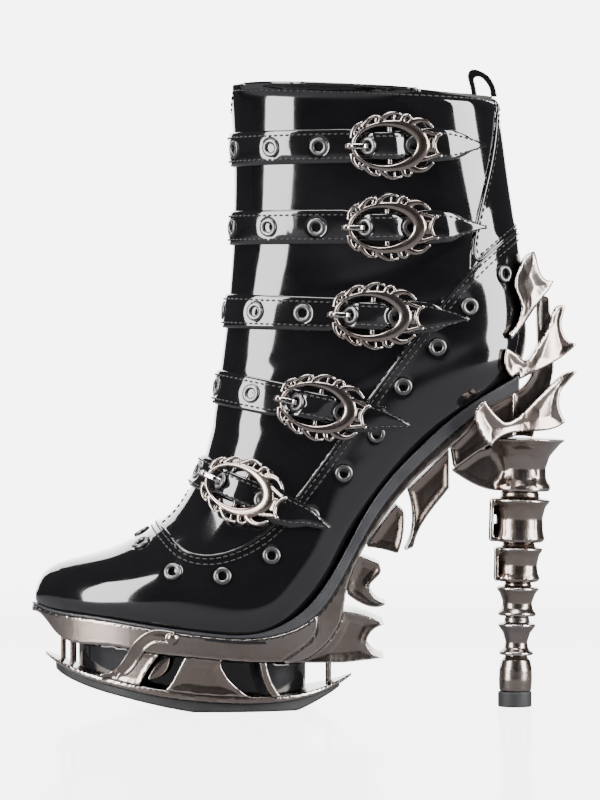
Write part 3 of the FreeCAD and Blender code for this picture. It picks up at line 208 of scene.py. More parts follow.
def new_group(name, inputs, outputs):
    """An empty node group with float inputs (name, value) and named outputs."""
    group = bpy.data.node_groups.new(name, "ShaderNodeTree")
    for label, value in inputs:
        socket = group.interface.new_socket(name=label, in_out="INPUT", socket_type="NodeSocketFloat")
        socket.default_value = value
    for label, kind in outputs:
        group.interface.new_socket(name=label, in_out="OUTPUT", socket_type=kind)
    return group, group.nodes.new("NodeGroupInput"), group.nodes.new("NodeGroupOutput")


def place_text(tree, scale):
    """Object coordinates times a scale along each axis."""
    place = tree.nodes.new("ShaderNodeTexCoord")
    node = tree.nodes.new("ShaderNodeVectorMath")
    node.operation = "MULTIPLY"
    tree.links.new(place.outputs["Object"], node.inputs[0])
    node.inputs[1].default_value = scale
    return node.outputs[0]


def build_brushed_group():
    """Fine scratches along Z with a slower unevenness under them."""
    group, given, out = new_group("brushed_grain", (("Fineness", 1.0), ("Depth", 1.0)),
                                  (("Height", "NodeSocketFloat"), ("Streak", "NodeSocketFloat")))
    fine = put_node(group, "ShaderNodeTexNoise", None, Vector=place_text(group, (2200, 2200, 90)),
                    Scale=given.outputs["Fineness"], Detail=4.0, Roughness=0.6)
    slow = put_node(group, "ShaderNodeTexNoise", None, Vector=place_text(group, (160, 160, 30)),
                    Scale=given.outputs["Fineness"], Detail=2.0)
    both = figure(group, "MULTIPLY_ADD", slow.outputs[0], 0.2, fine.outputs[0])
    group.links.new(figure(group, "MULTIPLY", both, given.outputs["Depth"]), out.inputs[0])
    group.links.new(fine.outputs[0], out.inputs[1])
    return group


def build_painted_light_group():
    """Splits the stored edge value into a painted highlight on ridges and a painted shade in hollows,
    broken up by noise.
    """
    group, given, out = new_group("edge_painted_light", (("Rim", 0.6), ("Hollow", 0.4), ("Breakup", 0.1)),
                                  (("PaintedHighlight", "NodeSocketFloat"), ("PaintedShade", "NodeSocketFloat")))
    stored = group.nodes.new("ShaderNodeAttribute")
    stored.attribute_name = "edge"
    noise = put_node(group, "ShaderNodeTexNoise", None, Vector=place_text(group, (1, 1, 1)),
                     Scale=420.0, Detail=5.0, Roughness=0.65)
    shift = figure(group, "MULTIPLY", figure(group, "SUBTRACT", noise.outputs[0], 0.5),
                   given.outputs["Breakup"])
    level = figure(group, "ADD", stored.outputs["Fac"], shift)
    # Painted highlight: above the Rim level the colour is pulled bright, as if light caught the ridges.
    ridge_highlight = figure(group, "MULTIPLY", figure(group, "SUBTRACT", level, given.outputs["Rim"]), 6.0)
    # Painted shade: below the Hollow level the colour is pulled dark, as if shade fell in the hollows.
    hollow_shade = figure(group, "MULTIPLY", figure(group, "SUBTRACT", given.outputs["Hollow"], level), 6.0)
    group.links.new(span(group, ridge_highlight, 0.0, 1.0, 0.0, 1.0), out.inputs[0])
    group.links.new(span(group, hollow_shade, 0.0, 1.0, 0.0, 1.0), out.inputs[1])
    return group


def build_mottle_group():
    """A soft cloudiness between 0 and 1 for stains, dust and uneven gloss."""
    group, given, out = new_group("mottle", (("Scale", 40.0), ("Contrast", 2.0)),
                                  (("Cloud", "NodeSocketFloat"),))
    noise = put_node(group, "ShaderNodeTexNoise", None, Vector=place_text(group, (1, 1, 1)),
                     Scale=given.outputs["Scale"], Detail=6.0, Roughness=0.6, Distortion=0.4)
    middle = figure(group, "SUBTRACT", noise.outputs[0], 0.5)
    cloud = figure(group, "MULTIPLY_ADD", middle, given.outputs["Contrast"], 0.5)
    group.links.new(span(group, cloud, 0.0, 1.0, 0.0, 1.0), out.inputs[0])
    return group


GROUPS = {"brushed": build_brushed_group(), "painted_light": build_painted_light_group(), "mottle": build_mottle_group()}


def use_group(tree, name, **inputs):
    node = tree.nodes.new("ShaderNodeGroup")
    node.node_tree = GROUPS[name]
    for key, value in inputs.items():
        node.inputs[key].default_value = value
    return node


def new_material(name, **levels):
    """A material with its Principled shader; levels are set on the shader's own sockets."""
    material = bpy.data.materials.new(name)
    material.use_nodes = True
    tree = material.node_tree
    shader = tree.nodes["Principled BSDF"]
    for key, value in levels.items():
        shader.inputs[key.replace("_", " ")].default_value = value
    return material, tree, shader


def bump(tree, shader, height, strength, distance):
    """Feeds a height into the shader's normal."""
    node = put_node(tree, "ShaderNodeBump", None, Height=height, Strength=strength, Distance=distance)
    tree.links.new(node.outputs[0], shader.inputs["Normal"])


# %% [markdown]
# ## The finishes
# Patent leather is leather under a thick clear film: almost black, mirror-like, with a slow
# waviness from the leather below. The castings are plated dark pewter, then brushed; their colour
# is painted bright on the ridges as a highlight and brown-black in the hollows as shade. The buckles
# are the same metal, with stronger painted highlight and shade. Rubber, tape, thread and board are
# duller and each has a texture of its own.


# %% Materials
def patent_leather(name, colour, waviness):
    material, tree, shader = new_material(name, IOR=1.52, Coat_Weight=0.8, Coat_Roughness=0.015,
                                          Coat_IOR=1.5)
    cloud = use_group(tree, "mottle", Scale=55.0, Contrast=1.6)
    colours = blend_colours(tree, cloud.outputs[0], colour, [part * 1.6 for part in colour])
    tree.links.new(colours, shader.inputs["Base Color"])
    gloss = span(tree, cloud.outputs[0], 0.0, 1.0, 0.05, 0.13)
    tree.links.new(gloss, shader.inputs["Roughness"])
    slow = put_node(tree, "ShaderNodeTexNoise", None, Vector=place_text(tree, (1, 1, 1)), Scale=70.0,
                    Detail=2.0)
    pores = put_node(tree, "ShaderNodeTexVoronoi", None, Vector=place_text(tree, (1, 1, 1)),
                     Scale=900.0)
    height = figure(tree, "MULTIPLY_ADD", pores.outputs["Distance"], 0.03, slow.outputs[0])
    bump(tree, shader, height, waviness, 0.0006)
    return material


def cast_metal(name, base, bright, dark, rough, painted_light_levels, fineness):
    """Plated and brushed metal: three tones, a painted highlight on ridges and painted shade in hollows,
    with a stained sheen.
    """
    material, tree, shader = new_material(name, Metallic=1.0, Anisotropic=0.35)
    rim, hollow = painted_light_levels
    # This group paints a highlight on ridges and shade in hollows into the colour.
    painted_light = use_group(tree, "painted_light", Rim=rim, Hollow=hollow, Breakup=0.16)
    stain = use_group(tree, "mottle", Scale=38.0, Contrast=2.4)
    grain = use_group(tree, "brushed", Fineness=fineness, Depth=1.0)
    warm = (base[0] * 0.86, base[1] * 0.70, base[2] * 0.62)
    ground = blend_colours(tree, stain.outputs[0], base, warm)
    # Painted shade: the hollows take the dark colour.
    darker = blend_colours(tree, painted_light.outputs["PaintedShade"], ground, dark)
    # Painted highlight: the ridges take the bright colour.
    tones = blend_colours(tree, painted_light.outputs["PaintedHighlight"], darker, bright)
    tree.links.new(tones, shader.inputs["Base Color"])
    streaks = span(tree, grain.outputs["Streak"], 0.3, 0.7, rough[0], rough[1])
    # The hollows that carry painted shade are also made rougher.
    dull = figure(tree, "MULTIPLY_ADD", painted_light.outputs["PaintedShade"], 0.22, streaks)
    tree.links.new(dull, shader.inputs["Roughness"])
    bump(tree, shader, grain.outputs["Height"], 0.045, 0.0002)
    return material


def plain_coated(name, colour, rough, scale, bump_strength, metallic=0.0):
    """A mottled surface with a fine grain, for rubber, board, thread and plastic."""
    material, tree, shader = new_material(name, Metallic=metallic)
    cloud = use_group(tree, "mottle", Scale=scale, Contrast=1.8)
    lighter = [min(1.0, part * 1.5 + 0.004) for part in colour]
    tree.links.new(blend_colours(tree, cloud.outputs[0], colour, lighter), shader.inputs["Base Color"])
    tree.links.new(span(tree, cloud.outputs[0], 0.0, 1.0, *rough), shader.inputs["Roughness"])
    fine = put_node(tree, "ShaderNodeTexNoise", None, Vector=place_text(tree, (1, 1, 1)),
                    Scale=scale * 24, Detail=3.0)
    bump(tree, shader, fine.outputs[0], bump_strength, 0.0003)
    return material


def woven_tape(name, colour):
    """Twill tape: two crossed waves raise the threads."""
    material, tree, shader = new_material(name, Sheen_Weight=0.25)
    up = put_node(tree, "ShaderNodeTexWave", {"bands_direction": "Z"},
                  Vector=place_text(tree, (1, 1, 1)), Scale=330.0, Distortion=0.5)
    across = put_node(tree, "ShaderNodeTexWave", {"bands_direction": "X"},
                      Vector=place_text(tree, (1, 1, 1)), Scale=420.0, Distortion=0.5)
    weave = figure(tree, "MULTIPLY", up.outputs["Fac"], across.outputs["Fac"])
    lighter = [part * 2.4 for part in colour]
    tree.links.new(blend_colours(tree, weave, colour, lighter), shader.inputs["Base Color"])
    tree.links.new(span(tree, weave, 0.0, 1.0, 0.95, 0.7), shader.inputs["Roughness"])
    bump(tree, shader, weave, 0.5, 0.0002)
    return material


PATENT = patent_leather("patent_leather", (0.0035, 0.0033, 0.0038), 0.05)
STRAP_PATENT = patent_leather("strap_patent_leather", (0.0045, 0.0043, 0.0048), 0.09)
# Each metal: base colour, painted highlight colour for ridges, painted shade colour for hollows,
# roughness range, ridge and hollow levels, grain fineness.
CASTING = cast_metal("brushed_pewter", (0.30, 0.275, 0.255), (0.56, 0.53, 0.50), (0.045, 0.034, 0.030),
                     (0.17, 0.27), (0.66, 0.40), 1.0)
# The buckle metal gets more painted highlight and shade than the castings.
BUCKLE = cast_metal("buckle_metal_strong_painted_light", (0.33, 0.305, 0.285), (0.62, 0.59, 0.56), (0.035, 0.026, 0.022),
                    (0.16, 0.25), (0.62, 0.45), 1.6)
NICKEL = cast_metal("bright_nickel", (0.55, 0.55, 0.56), (0.80, 0.80, 0.80), (0.16, 0.155, 0.155),
                    (0.08, 0.15), (0.62, 0.40), 2.0)
ZIP_METAL = cast_metal("gunmetal_zip", (0.34, 0.325, 0.31), (0.62, 0.60, 0.58), (0.08, 0.07, 0.06),
                       (0.18, 0.30), (0.60, 0.42), 2.0)
THREAD = plain_coated("waxed_thread", (0.012, 0.011, 0.011), (0.35, 0.6), 160.0, 0.35)
LINING = plain_coated("lining_leather", (0.020, 0.017, 0.016), (0.5, 0.75), 60.0, 0.35)
BOARD = plain_coated("fibre_board", (0.30, 0.22, 0.15), (0.7, 0.9), 90.0, 0.4)
CORK = plain_coated("cork", (0.38, 0.26, 0.16), (0.8, 0.95), 120.0, 0.6)
RAND_RUBBER = plain_coated("satin_rand", (0.030, 0.030, 0.033), (0.28, 0.42), 70.0, 0.12)
TREAD = plain_coated("tread_rubber", (0.012, 0.012, 0.013), (0.5, 0.72), 90.0, 0.3)
CORE = plain_coated("gloss_black_plastic", (0.006, 0.006, 0.007), (0.08, 0.16), 50.0, 0.04)
SPRING = plain_coated("spring_steel", (0.42, 0.43, 0.45), (0.25, 0.4), 60.0, 0.1, 1.0)
TAPE = woven_tape("zip_tape", (0.010, 0.010, 0.011))

# %% [markdown]
# ## Reading the skin of the boot
# The leather is three frame nodes that together are one smooth skin. Panels built from their
# triangles would show facets in a mirror finish. So a spine is laid inside the boot, rays come in
# towards it from all round, and where they meet the leather the distance is noted. That gives one
# even grid of the whole skin, which a light smoothing makes clean. Rays that find an opening take
# the distance of their neighbours, because the openings are cut later.

# %% Skin grid
SPINE = ((-204, 53), (-188, 55), (-165, 58), (-143, 65), (-122, 79), (-102, 103), (-86, 132), (-74, 160),
         (-68, 190), (-67, 225), (-68, 290))
CAP_ROWS = 26
RUN_ROWS = 214
COLUMNS = 288
REACH = 0.2


def spine_line():
    """Even points along the rounded spine and their directions."""
    corners = np.array(SPINE) * MM
    places = np.concatenate([[0], np.cumsum(np.linalg.norm(np.diff(corners, axis=0), axis=1))])
    dense = np.linspace(0, places[-1], 600)
    line = np.stack([np.interp(dense, places, corners[:, axis]) for axis in (0, 1)], axis=1)
    window = np.hanning(91)
    window /= window.sum()
    for axis in (0, 1):
        start, end = line[0, axis], line[-1, axis]
        step_in = line[1, axis] - start
        step_out = line[-1, axis] - line[-2, axis]
        before = start - step_in * np.arange(45, 0, -1)
        after = end + step_out * np.arange(1, 46)
        line[:, axis] = np.convolve(np.concatenate([before, line[:, axis], after]), window, "valid")
    direction = np.gradient(line, axis=0)
    direction /= np.linalg.norm(direction, axis=1)[:, None]
    pick = np.linspace(0, len(line) - 1, RUN_ROWS)
    return [np.stack([np.interp(pick, np.arange(len(line)), part[:, axis]) for axis in (0, 1)], axis=1)
            for part in (line, direction)]


def skin_rays():
    """Origins and directions of the rays, row by row; the first rows fan over the toe."""
    line, direction = spine_line()
    turns = np.arange(COLUMNS) / COLUMNS * 2 * math.pi
    origins = []
    directions = []
    for row in range(CAP_ROWS + RUN_ROWS):
        index = max(row - CAP_ROWS, 0)
        ahead = direction[index]
        fan = min(row / CAP_ROWS, 1.0) * math.pi / 2
        square = np.stack([np.cos(turns) * ahead[1], np.sin(turns), -np.cos(turns) * ahead[0]], axis=1)
        forward = np.array([-ahead[0], 0.0, -ahead[1]])
        origins.append(np.tile([line[index][0], 0.0, line[index][1]], (COLUMNS, 1)))
        directions.append(square * math.sin(fan) + forward * math.cos(fan))
    return np.array(origins), np.array(directions)


def read_skin(tree, origins, directions):
    """Distance of the skin along each ray, with gaps filled and the grid lightly smoothed."""
    rows, columns = origins.shape[:2]
    reach = np.full((rows, columns), np.nan)
    for row in range(rows):
        for column in range(columns):
            start = origins[row, column] + directions[row, column] * REACH
            hit = tree.ray_cast(Vector(start), Vector(-directions[row, column]), REACH * 0.985)
            if hit[0] is not None:
                reach[row, column] = REACH - hit[3]
    for row in range(rows):
        good = np.flatnonzero(~np.isnan(reach[row]))
        if len(good) == 0:
            reach[row] = reach[row - 1]
            continue
        spread = np.concatenate([good - columns, good, good + columns])
        reach[row] = np.interp(np.arange(columns), spread, np.tile(reach[row, good], 3))
    return reach


def smooth_grid(values, passes):
    for _ in range(passes):
        values = (np.roll(values, 1, 1) + 2 * values + np.roll(values, -1, 1)) / 4
        inner = (values[:-2] + 2 * values[1:-1] + values[2:]) / 4
        values = np.vstack([values[:1], inner, values[-1:]])
    return values


LEATHER_NODES = ("foot_part", "shaft_front", "shaft_back")
skin_tree = search_tree(*LEATHER_NODES)
ray_origins, ray_directions = skin_rays()
skin_reach = read_skin(skin_tree, ray_origins, ray_directions)
print("skin grid:", skin_reach.shape, "widest reach in mm:", round(float(skin_reach.max()) / MM, 1))


# %% [markdown]
# ## Where one panel ends and the next begins
# Each panel is the part of the skin where a value is above zero. For a seam the value is the
# distance to the other panels less the distance to this one, which is zero on the seam itself.
# For an open edge it is the height over or under the frame node's own outline. Cutting a mesh
# where a value crosses zero gives a clean line at any angle, which a boolean on a thin open
# surface can't promise.

# %% Seam values
skin_reach = smooth_grid(skin_reach, 4)
skin_points = (ray_origins + ray_directions * skin_reach[:, :, None]).reshape(-1, 3)
skin_rows = CAP_ROWS + RUN_ROWS


def grid_faces(rows, columns):
    """Quads of a grid that closes round its columns."""
    faces = []
    for row in range(rows - 1):
        for column in range(columns):
            ahead = (column + 1) % columns
            here, above = row * columns, (row + 1) * columns
            faces.append((here + column, above + column, above + ahead, here + ahead))
    return faces


def nearest_distances(tree, points):
    return np.array([tree.find_nearest(Vector(point))[3] for point in points])


def outline(names, upper):
    """Upper or lower outline of frame nodes in side view, as places and heights."""
    points, _ = read_nodes(*names)
    places = np.arange(points[:, 0].min(), points[:, 0].max(), 1.5 * MM)
    heights = []
    for place in places:
        near = points[np.abs(points[:, 0] - place) < 2.0 * MM, 2]
        heights.append(near.max() if upper else near.min())
    window = np.ones(5) / 5
    padded = np.concatenate([heights[:1] * 2, heights, heights[-1:] * 2])
    return places, np.convolve(padded, window, "valid")


def panel_normals(points, faces):
    """Unit normals of a mesh's points."""
    normals = np.zeros_like(points)
    quads = np.array([face if len(face) == 4 else (*face, face[-1]) for face in faces if len(face) < 5])
    across = np.cross(points[quads[:, 2]] - points[quads[:, 0]],
                      points[quads[:, 3]] - points[quads[:, 1]])
    for corner in range(4):
        for axis in range(3):
            normals[:, axis] += np.bincount(quads[:, corner], across[:, axis], len(points))
    return normals / np.maximum(np.linalg.norm(normals, axis=1), 1e-12)[:, None]


skin_faces = grid_faces(skin_rows, COLUMNS)
skin_normals = panel_normals(skin_points, skin_faces)
if np.mean(np.sum(skin_normals * ray_directions.reshape(-1, 3), axis=1)) < 0:
    skin_faces = [face[::-1] for face in skin_faces]
    skin_normals = -skin_normals
gaps = {name: nearest_distances(search_tree(name), skin_points) for name in LEATHER_NODES}
sole_line = outline(("foot_part",), False)
top_line = outline(("shaft_front", "shaft_back"), True)
over_sole = skin_points[:, 2] - np.interp(skin_points[:, 0], *sole_line)
under_top = np.interp(skin_points[:, 0], *top_line) - skin_points[:, 2]
tape_low, tape_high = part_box("zip_tapes")
zip_middle = (tape_low.x + tape_high.x) / 2
zip_half = (tape_high.x - tape_low.x) / 2 + 0.15 * MM
beside_zip = np.maximum(np.abs(skin_points[:, 0] - zip_middle) - zip_half,
                        tape_low.z - skin_points[:, 2])
beside_zip[skin_points[:, 1] < 0] = 20 * MM


def seam_value(name):
    others = np.min([gaps[other] for other in LEATHER_NODES if other != name], axis=0)
    return others - gaps[name]


def cut_mesh(table, faces, column):
    """Keeps where a column of the table is positive; faces are cut on its zero line."""
    value = table[:, column].copy()
    value[np.abs(value) < 0.12 * MM] = 1e-9
    kept = {}
    rows = []
    cut = []

    def keep(key, row):
        if key not in kept:
            kept[key] = len(rows)
            rows.append(row)
        return kept[key]

    for face in faces:
        loop = []
        for k, here in enumerate(face):
            ahead = face[(k + 1) % len(face)]
            if value[here] > 0:
                loop.append(keep(here, table[here]))
            if (value[here] > 0) != (value[ahead] > 0):
                low, high = min(here, ahead), max(here, ahead)
                share = value[low] / (value[low] - value[high])
                loop.append(keep((low, high), table[low] * (1 - share) + table[high] * share))
        if len(set(loop)) >= 3:
            cut.append(loop)
    return np.array(rows), cut


def level_lines(table, faces, column, level, least=12):
    """Polylines on the mesh along which a column has one value."""
    value = table[:, column] - level
    value[value == 0] = 1e-9
    spots = {}
    links = {}
    for face in faces:
        ends = []
        for k, here in enumerate(face):
            ahead = face[(k + 1) % len(face)]
            if (value[here] > 0) != (value[ahead] > 0):
                low, high = min(here, ahead), max(here, ahead)
                share = value[low] / (value[low] - value[high])
                spots[(low, high)] = table[low, :3] * (1 - share) + table[high, :3] * share
                ends.append((low, high))
        if len(ends) == 2:
            links.setdefault(ends[0], []).append(ends[1])
            links.setdefault(ends[1], []).append(ends[0])
    return chain_up(spots, links, least)


def chain_up(spots, links, least):
    """Joins linked spots end to end into polylines."""
    lines = []
    used = set()
    for start in sorted(links, key=lambda key: (len(links[key]), key)):
        if start in used:
            continue
        chain = [start]
        used.add(start)
        while True:
            further = [key for key in links[chain[-1]] if key not in used]
            if not further:
                break
            chain.append(further[0])
            used.add(further[0])
        if len(chain) >= least:
            lines.append(np.array([spots[key] for key in chain]))
    return lines


# %% [markdown]
# ## Leather with a rolled edge
# A panel is a thin sheet. The outer face keeps its shape, the inner face lies one thickness below
# it, and a half-round rim joins them, as a skived and folded edge does. Next to a seam the panel
# that lies on top is lifted a little, so that it casts the fine shadow that a lap seam has.


# %% Panel maker
def rim_loops(faces):
    """The mesh's border edges in the direction of their faces."""
    count = {}
    for face in faces:
        for k, here in enumerate(face):
            ahead = face[(k + 1) % len(face)]
            count[(here, ahead)] = 1
    return [edge for edge in count if (edge[1], edge[0]) not in count]


def thicken(points, faces, normals, depth):
    """Closes a surface into a sheet with a half-round rim."""
    total = len(points)
    border = rim_loops(faces)
    outward = np.zeros_like(points)
    for here, ahead in border:
        side = np.cross(points[ahead] - points[here], normals[here] + normals[ahead])
        side /= max(np.linalg.norm(side), 1e-12)
        outward[here] += side
        outward[ahead] += side
    outward /= np.maximum(np.linalg.norm(outward, axis=1), 1e-12)[:, None]
    rim_points = sorted({index for edge in border for index in edge})
    layers = [points, points - normals * depth]
    at = {}
    steps = 4
    extra = []
    for index in rim_points:
        at[(index, 0)] = index
        at[(index, steps)] = index + total
        for step in range(1, steps):
            turn = math.pi * step / steps
            down = (1 - math.cos(turn)) / 2 * depth
            out = math.sin(turn) * depth * 0.45
            at[(index, step)] = 2 * total + len(extra)
            extra.append(points[index] - normals[index] * down + outward[index] * out)
    all_faces = [list(face) for face in faces]
    all_faces += [[index + total for index in face[::-1]] for face in faces]
    for here, ahead in border:
        for step in range(steps):
            all_faces.append([at[(ahead, step)], at[(here, step)],
                              at[(here, step + 1)], at[(ahead, step + 1)]])
    return np.vstack(layers + ([np.array(extra)] if extra else [])), all_faces


# Columns of the skin table: x, y, z, then these values.
SKIN_COLUMNS = {"sole": 3, "top": 4, "zip": 5, "foot_part": 6, "shaft_front": 7, "shaft_back": 8}
skin_table = np.column_stack([skin_points, over_sole, under_top, beside_zip]
                             + [seam_value(name) for name in LEATHER_NODES])


def panel_table(name):
    """The skin cut to one panel, and the values that it was cut by."""
    table, faces = cut_mesh(skin_table, skin_faces, SKIN_COLUMNS[name])
    for edge in (("sole",) if name == "foot_part" else ("top", "zip")):
        table, faces = cut_mesh(table, faces, SKIN_COLUMNS[edge])
    return table, faces


panels = {name: panel_table(name) for name in LEATHER_NODES}
for name, (table, faces) in panels.items():
    print("panel", name, "has", len(faces), "faces")

# %% [markdown]
# ## Stitches and grommets
# A row of stitches is a line of small threads that dip into the leather at both ends. Each thread
# is real geometry: light catches every stitch on glossy leather, which a bump can't do at its
# silhouette. Grommets are lathe-turned from one rounded outline and stood on the frame's own.


# %% Thread and lathe tools
def walk(line, pitch):
    """Even spots along a polyline with their directions."""
    steps = np.linalg.norm(np.diff(line, axis=0), axis=1)
    places = np.concatenate([[0], np.cumsum(steps)])
    count = max(int(places[-1] / pitch), 1)
    centres = (np.arange(count) + 0.5) * places[-1] / count
    spots, ahead, behind = (
        np.stack([np.interp(centres + shift, places, line[:, axis]) for axis in range(3)], axis=1)
        for shift in (0.0, pitch / 4, -pitch / 4))
    return spots, ahead - behind


def straighten(line, passes=6):
    """Takes the small steps out of a polyline and leaves its ends."""
    for _ in range(passes):
        line = np.vstack([line[:1], (line[:-2] + 2 * line[1:-1] + line[2:]) / 4, line[-1:]])
    return line


THREAD_RING = 6
THREAD_SHARES = (-1.0, -0.72, -0.3, 0.3, 0.72, 1.0)


def sew(lines, tree, pitch=3.1 * MM, length=2.5 * MM, thick=0.34 * MM, lift=0.1 * MM):
    """Points and faces of every stitch along some lines; the tree gives the leather under them."""
    points = []
    faces = []
    for line in lines:
        spots, runs = walk(straighten(line), pitch)
        for spot, run in zip(spots, runs):
            found = tree.find_nearest(Vector(spot))
            up = Vector(found[1])
            along = (Vector(run) - up * Vector(run).dot(up)).normalized()
            along = (along + up.cross(along) * float(chance.normal(0, 0.035))).normalized()
            side = up.cross(along)
            base = len(points)
            for share in THREAD_SHARES:
                swell = math.sqrt(max(1 - share * share, 0.02))
                height = lift * (1 - 3.2 * share ** 4) + thick * 0.25
                middle = Vector(found[0]) + along * (share * length / 2) + up * height
                for k in range(THREAD_RING):
                    turn = 2 * math.pi * k / THREAD_RING
                    points.append(middle + (side * math.cos(turn) * 1.15 + up * math.sin(turn))
                                  * (thick * swell))
            for row in range(len(THREAD_SHARES) - 1):
                for k in range(THREAD_RING):
                    ahead = (k + 1) % THREAD_RING
                    here, above = base + row * THREAD_RING, base + (row + 1) * THREAD_RING
                    faces.append((here + k, here + ahead, above + ahead, above + k))
            faces.append(tuple(base + k for k in range(THREAD_RING))[::-1])
            last = base + (len(THREAD_SHARES) - 1) * THREAD_RING
            faces.append(tuple(last + k for k in range(THREAD_RING)))
    return points, faces


def lathe(profile, around=40):
    """Points and faces of a closed outline (radius, height) turned about Z."""
    points = []
    faces = []
    count = len(profile)
    for k in range(around):
        turn = 2 * math.pi * k / around
        points += [(radius * math.cos(turn), radius * math.sin(turn), height)
                   for radius, height in profile]
    for k in range(around):
        ahead = (k + 1) % around
        for row in range(count):
            above = (row + 1) % count
            faces.append((k * count + row, ahead * count + row,
                          ahead * count + above, k * count + above))
    return np.array(points), faces


def islands(points, corners):
    """Splits a soup of triangles into its separate solids, as groups of point indices."""
    weld = {}
    same = np.array([weld.setdefault(tuple(np.round(p / (0.02 * MM)).astype(int)), i)
                     for i, p in enumerate(points)])
    parent = np.arange(len(points))

    def find(index):
        while parent[index] != index:
            parent[index] = parent[parent[index]]
            index = parent[index]
        return index

    for corner in same[corners]:
        first = find(corner[0])
        parent[find(corner[1])] = first
        parent[find(corner[2])] = first
    groups = {}
    for index in range(len(points)):
        groups.setdefault(find(same[index]), []).append(index)
    return [np.array(group) for group in groups.values() if len(group) > 10]


def ring_places(node, height):
    """Centre and outward axis of each washer-like solid in a frame node."""
    points, corners = read_nodes(node)
    places = []
    for group in islands(points, corners):
        own = points[group]
        unique = np.unique(np.round(own / (0.01 * MM)), axis=0) * 0.01 * MM
        middle = (unique.min(axis=0) + unique.max(axis=0)) / 2
        _, _, axes = np.linalg.svd(unique - unique.mean(axis=0))
        axis = axes[2]
        inside = np.array([-0.068, 0.0, middle[2]]) if middle[2] > 0.1 else np.array([-0.13, 0.0, 0.05])
        if np.dot(axis, middle - inside) < 0:
            axis = -axis
        reach = (unique - middle) @ axis
        radius = np.linalg.norm((unique - middle) - np.outer(reach, axis), axis=1)
        top = reach[radius > radius.max() * 0.9].max()
        places.append((middle + axis * (top - height), axis))
    return places


def stand_rings(places, profile):
    """One mesh with the same turned ring at every place."""
    shape, ring_faces = lathe(profile)
    points = []
    faces = []
    for middle, axis in places:
        turn = Vector((0, 0, 1)).rotation_difference(Vector(axis)).to_matrix()
        base = len(points)
        points += [tuple(turn @ Vector(p) + Vector(middle)) for p in shape]
        faces += [tuple(base + index for index in face) for face in ring_faces]
    return points, faces


def round_profile(outer, inner, flange, depth):
    """A grommet's outline: a domed flange with a rolled mouth and a short barrel."""
    outline = []
    width = outer - inner
    for k in range(9):
        share = k / 8
        turn = math.pi * share
        outline.append((inner + width * (1 + math.cos(turn)) / 2, flange * math.sin(turn) ** 0.7))
    outline += [(inner, -depth), (inner + 0.25 * MM, -depth), (inner + 0.3 * MM, -0.25 * MM),
                (outer - 0.2 * MM, -0.25 * MM)]
    return outline


GROMMET = round_profile(4.2 * MM, 2.0 * MM, 0.95 * MM, 1.3 * MM)
EYELET = round_profile(4.0 * MM, 1.9 * MM, 1.1 * MM, 1.1 * MM)
grommet_places = ring_places("strap_grommets", 0.5 * MM)
eyelet_places = ring_places("upper_eyelets", 0.8 * MM)
make_piece("strap_grommet_rings", *stand_rings(grommet_places, GROMMET), NICKEL, slot="grommet_metal",
           replaces=("strap_grommets",))
make_piece("upper_eyelet_rings", *stand_rings(eyelet_places, EYELET), NICKEL, slot="grommet_metal",
           replaces=("upper_eyelets",))
print("grommets:", len(grommet_places), "eyelets:", len(eyelet_places))

# %% [markdown]
# ## The leather panels
# The foot part lies over the shaft at the long slanting seam, so it is lifted there and has two
# rows of stitches. The shaft's top edge is folded and stitched once. Under each eyelet the leather
# is pressed in. A few shallow creases cross the ankle, where the boot bends in wear and in making.


# %% Build the panels
LEATHER_THICK = 1.4 * MM


def creases(points):
    """Depth of soft folds round the ankle, strongest at the bend over the instep."""
    lean = points[:, 2] - 0.35 * (points[:, 0] + 0.07)
    total = np.zeros(len(points))
    for height, depth, width, slant in ((0.150, 0.35, 5.0, 0.3), (0.163, 0.22, 4.0, -0.2),
                                        (0.129, 0.30, 4.5, 0.5), (0.196, 0.16, 5.0, 0.15)):
        place = lean - height - slant * points[:, 1]
        total += depth * MM * np.exp(-(place / (width * MM)) ** 2)
    fade = ease((points[:, 2] - 0.100) / 0.03) * ease((0.225 - points[:, 2]) / 0.03)
    return total * fade


def wave(points, size, seed):
    """A slow smooth unevenness between about -1 and 1."""
    turns = np.random.default_rng(seed)
    total = np.zeros(len(points))
    for _ in range(7):
        direction = turns.normal(size=3)
        direction *= 2 * math.pi / size / np.linalg.norm(direction) * turns.uniform(0.6, 1.4)
        total += np.sin(points @ direction + turns.uniform(0, 6.28))
    return total / 4


def press_rings(points, normals, places, radius, depth):
    """Presses the surface in under each ring."""
    tree = KDTree(len(places))
    for index, (middle, _) in enumerate(places):
        tree.insert(Vector(middle), index)
    tree.balance()
    away = np.array([tree.find(Vector(point))[2] for point in points])
    return points - normals * (depth * (1 - ease((away - radius * 0.55) / (radius * 0.75))))[:, None]


def build_panel(name):
    table, faces = panels[name]
    points = table[:, :3]
    normals = panel_normals(points, faces)
    seam = table[:, SKIN_COLUMNS[name]]
    lift = 0.10 * MM * wave(points, 34 * MM, 3) - creases(points)
    if name == "foot_part":
        lift += 0.55 * MM * (1 - ease(seam / (7 * MM)))
    if name == "shaft_back":
        lift += 0.35 * MM * (1 - ease(seam / (4 * MM))) * (points[:, 1] < 0)
    points = points + normals * lift[:, None]
    if name == "foot_part":
        points = press_rings(points, normals, eyelet_places, 3.4 * MM, 0.7 * MM)
    solid_points, solid_faces = thicken(points, faces, normals, LEATHER_THICK)
    make_piece(name + "_leather", solid_points, solid_faces, PATENT, slot="patent_leather",
               replaces=(name,))
    panels[name] = (np.column_stack([points, table[:, 3:]]), faces)


for name in LEATHER_NODES:
    build_panel(name)


def panel_tree(name):
    table, faces = panels[name]
    return BVHTree.FromPolygons(table[:, :3].tolist(), [list(face) for face in faces])


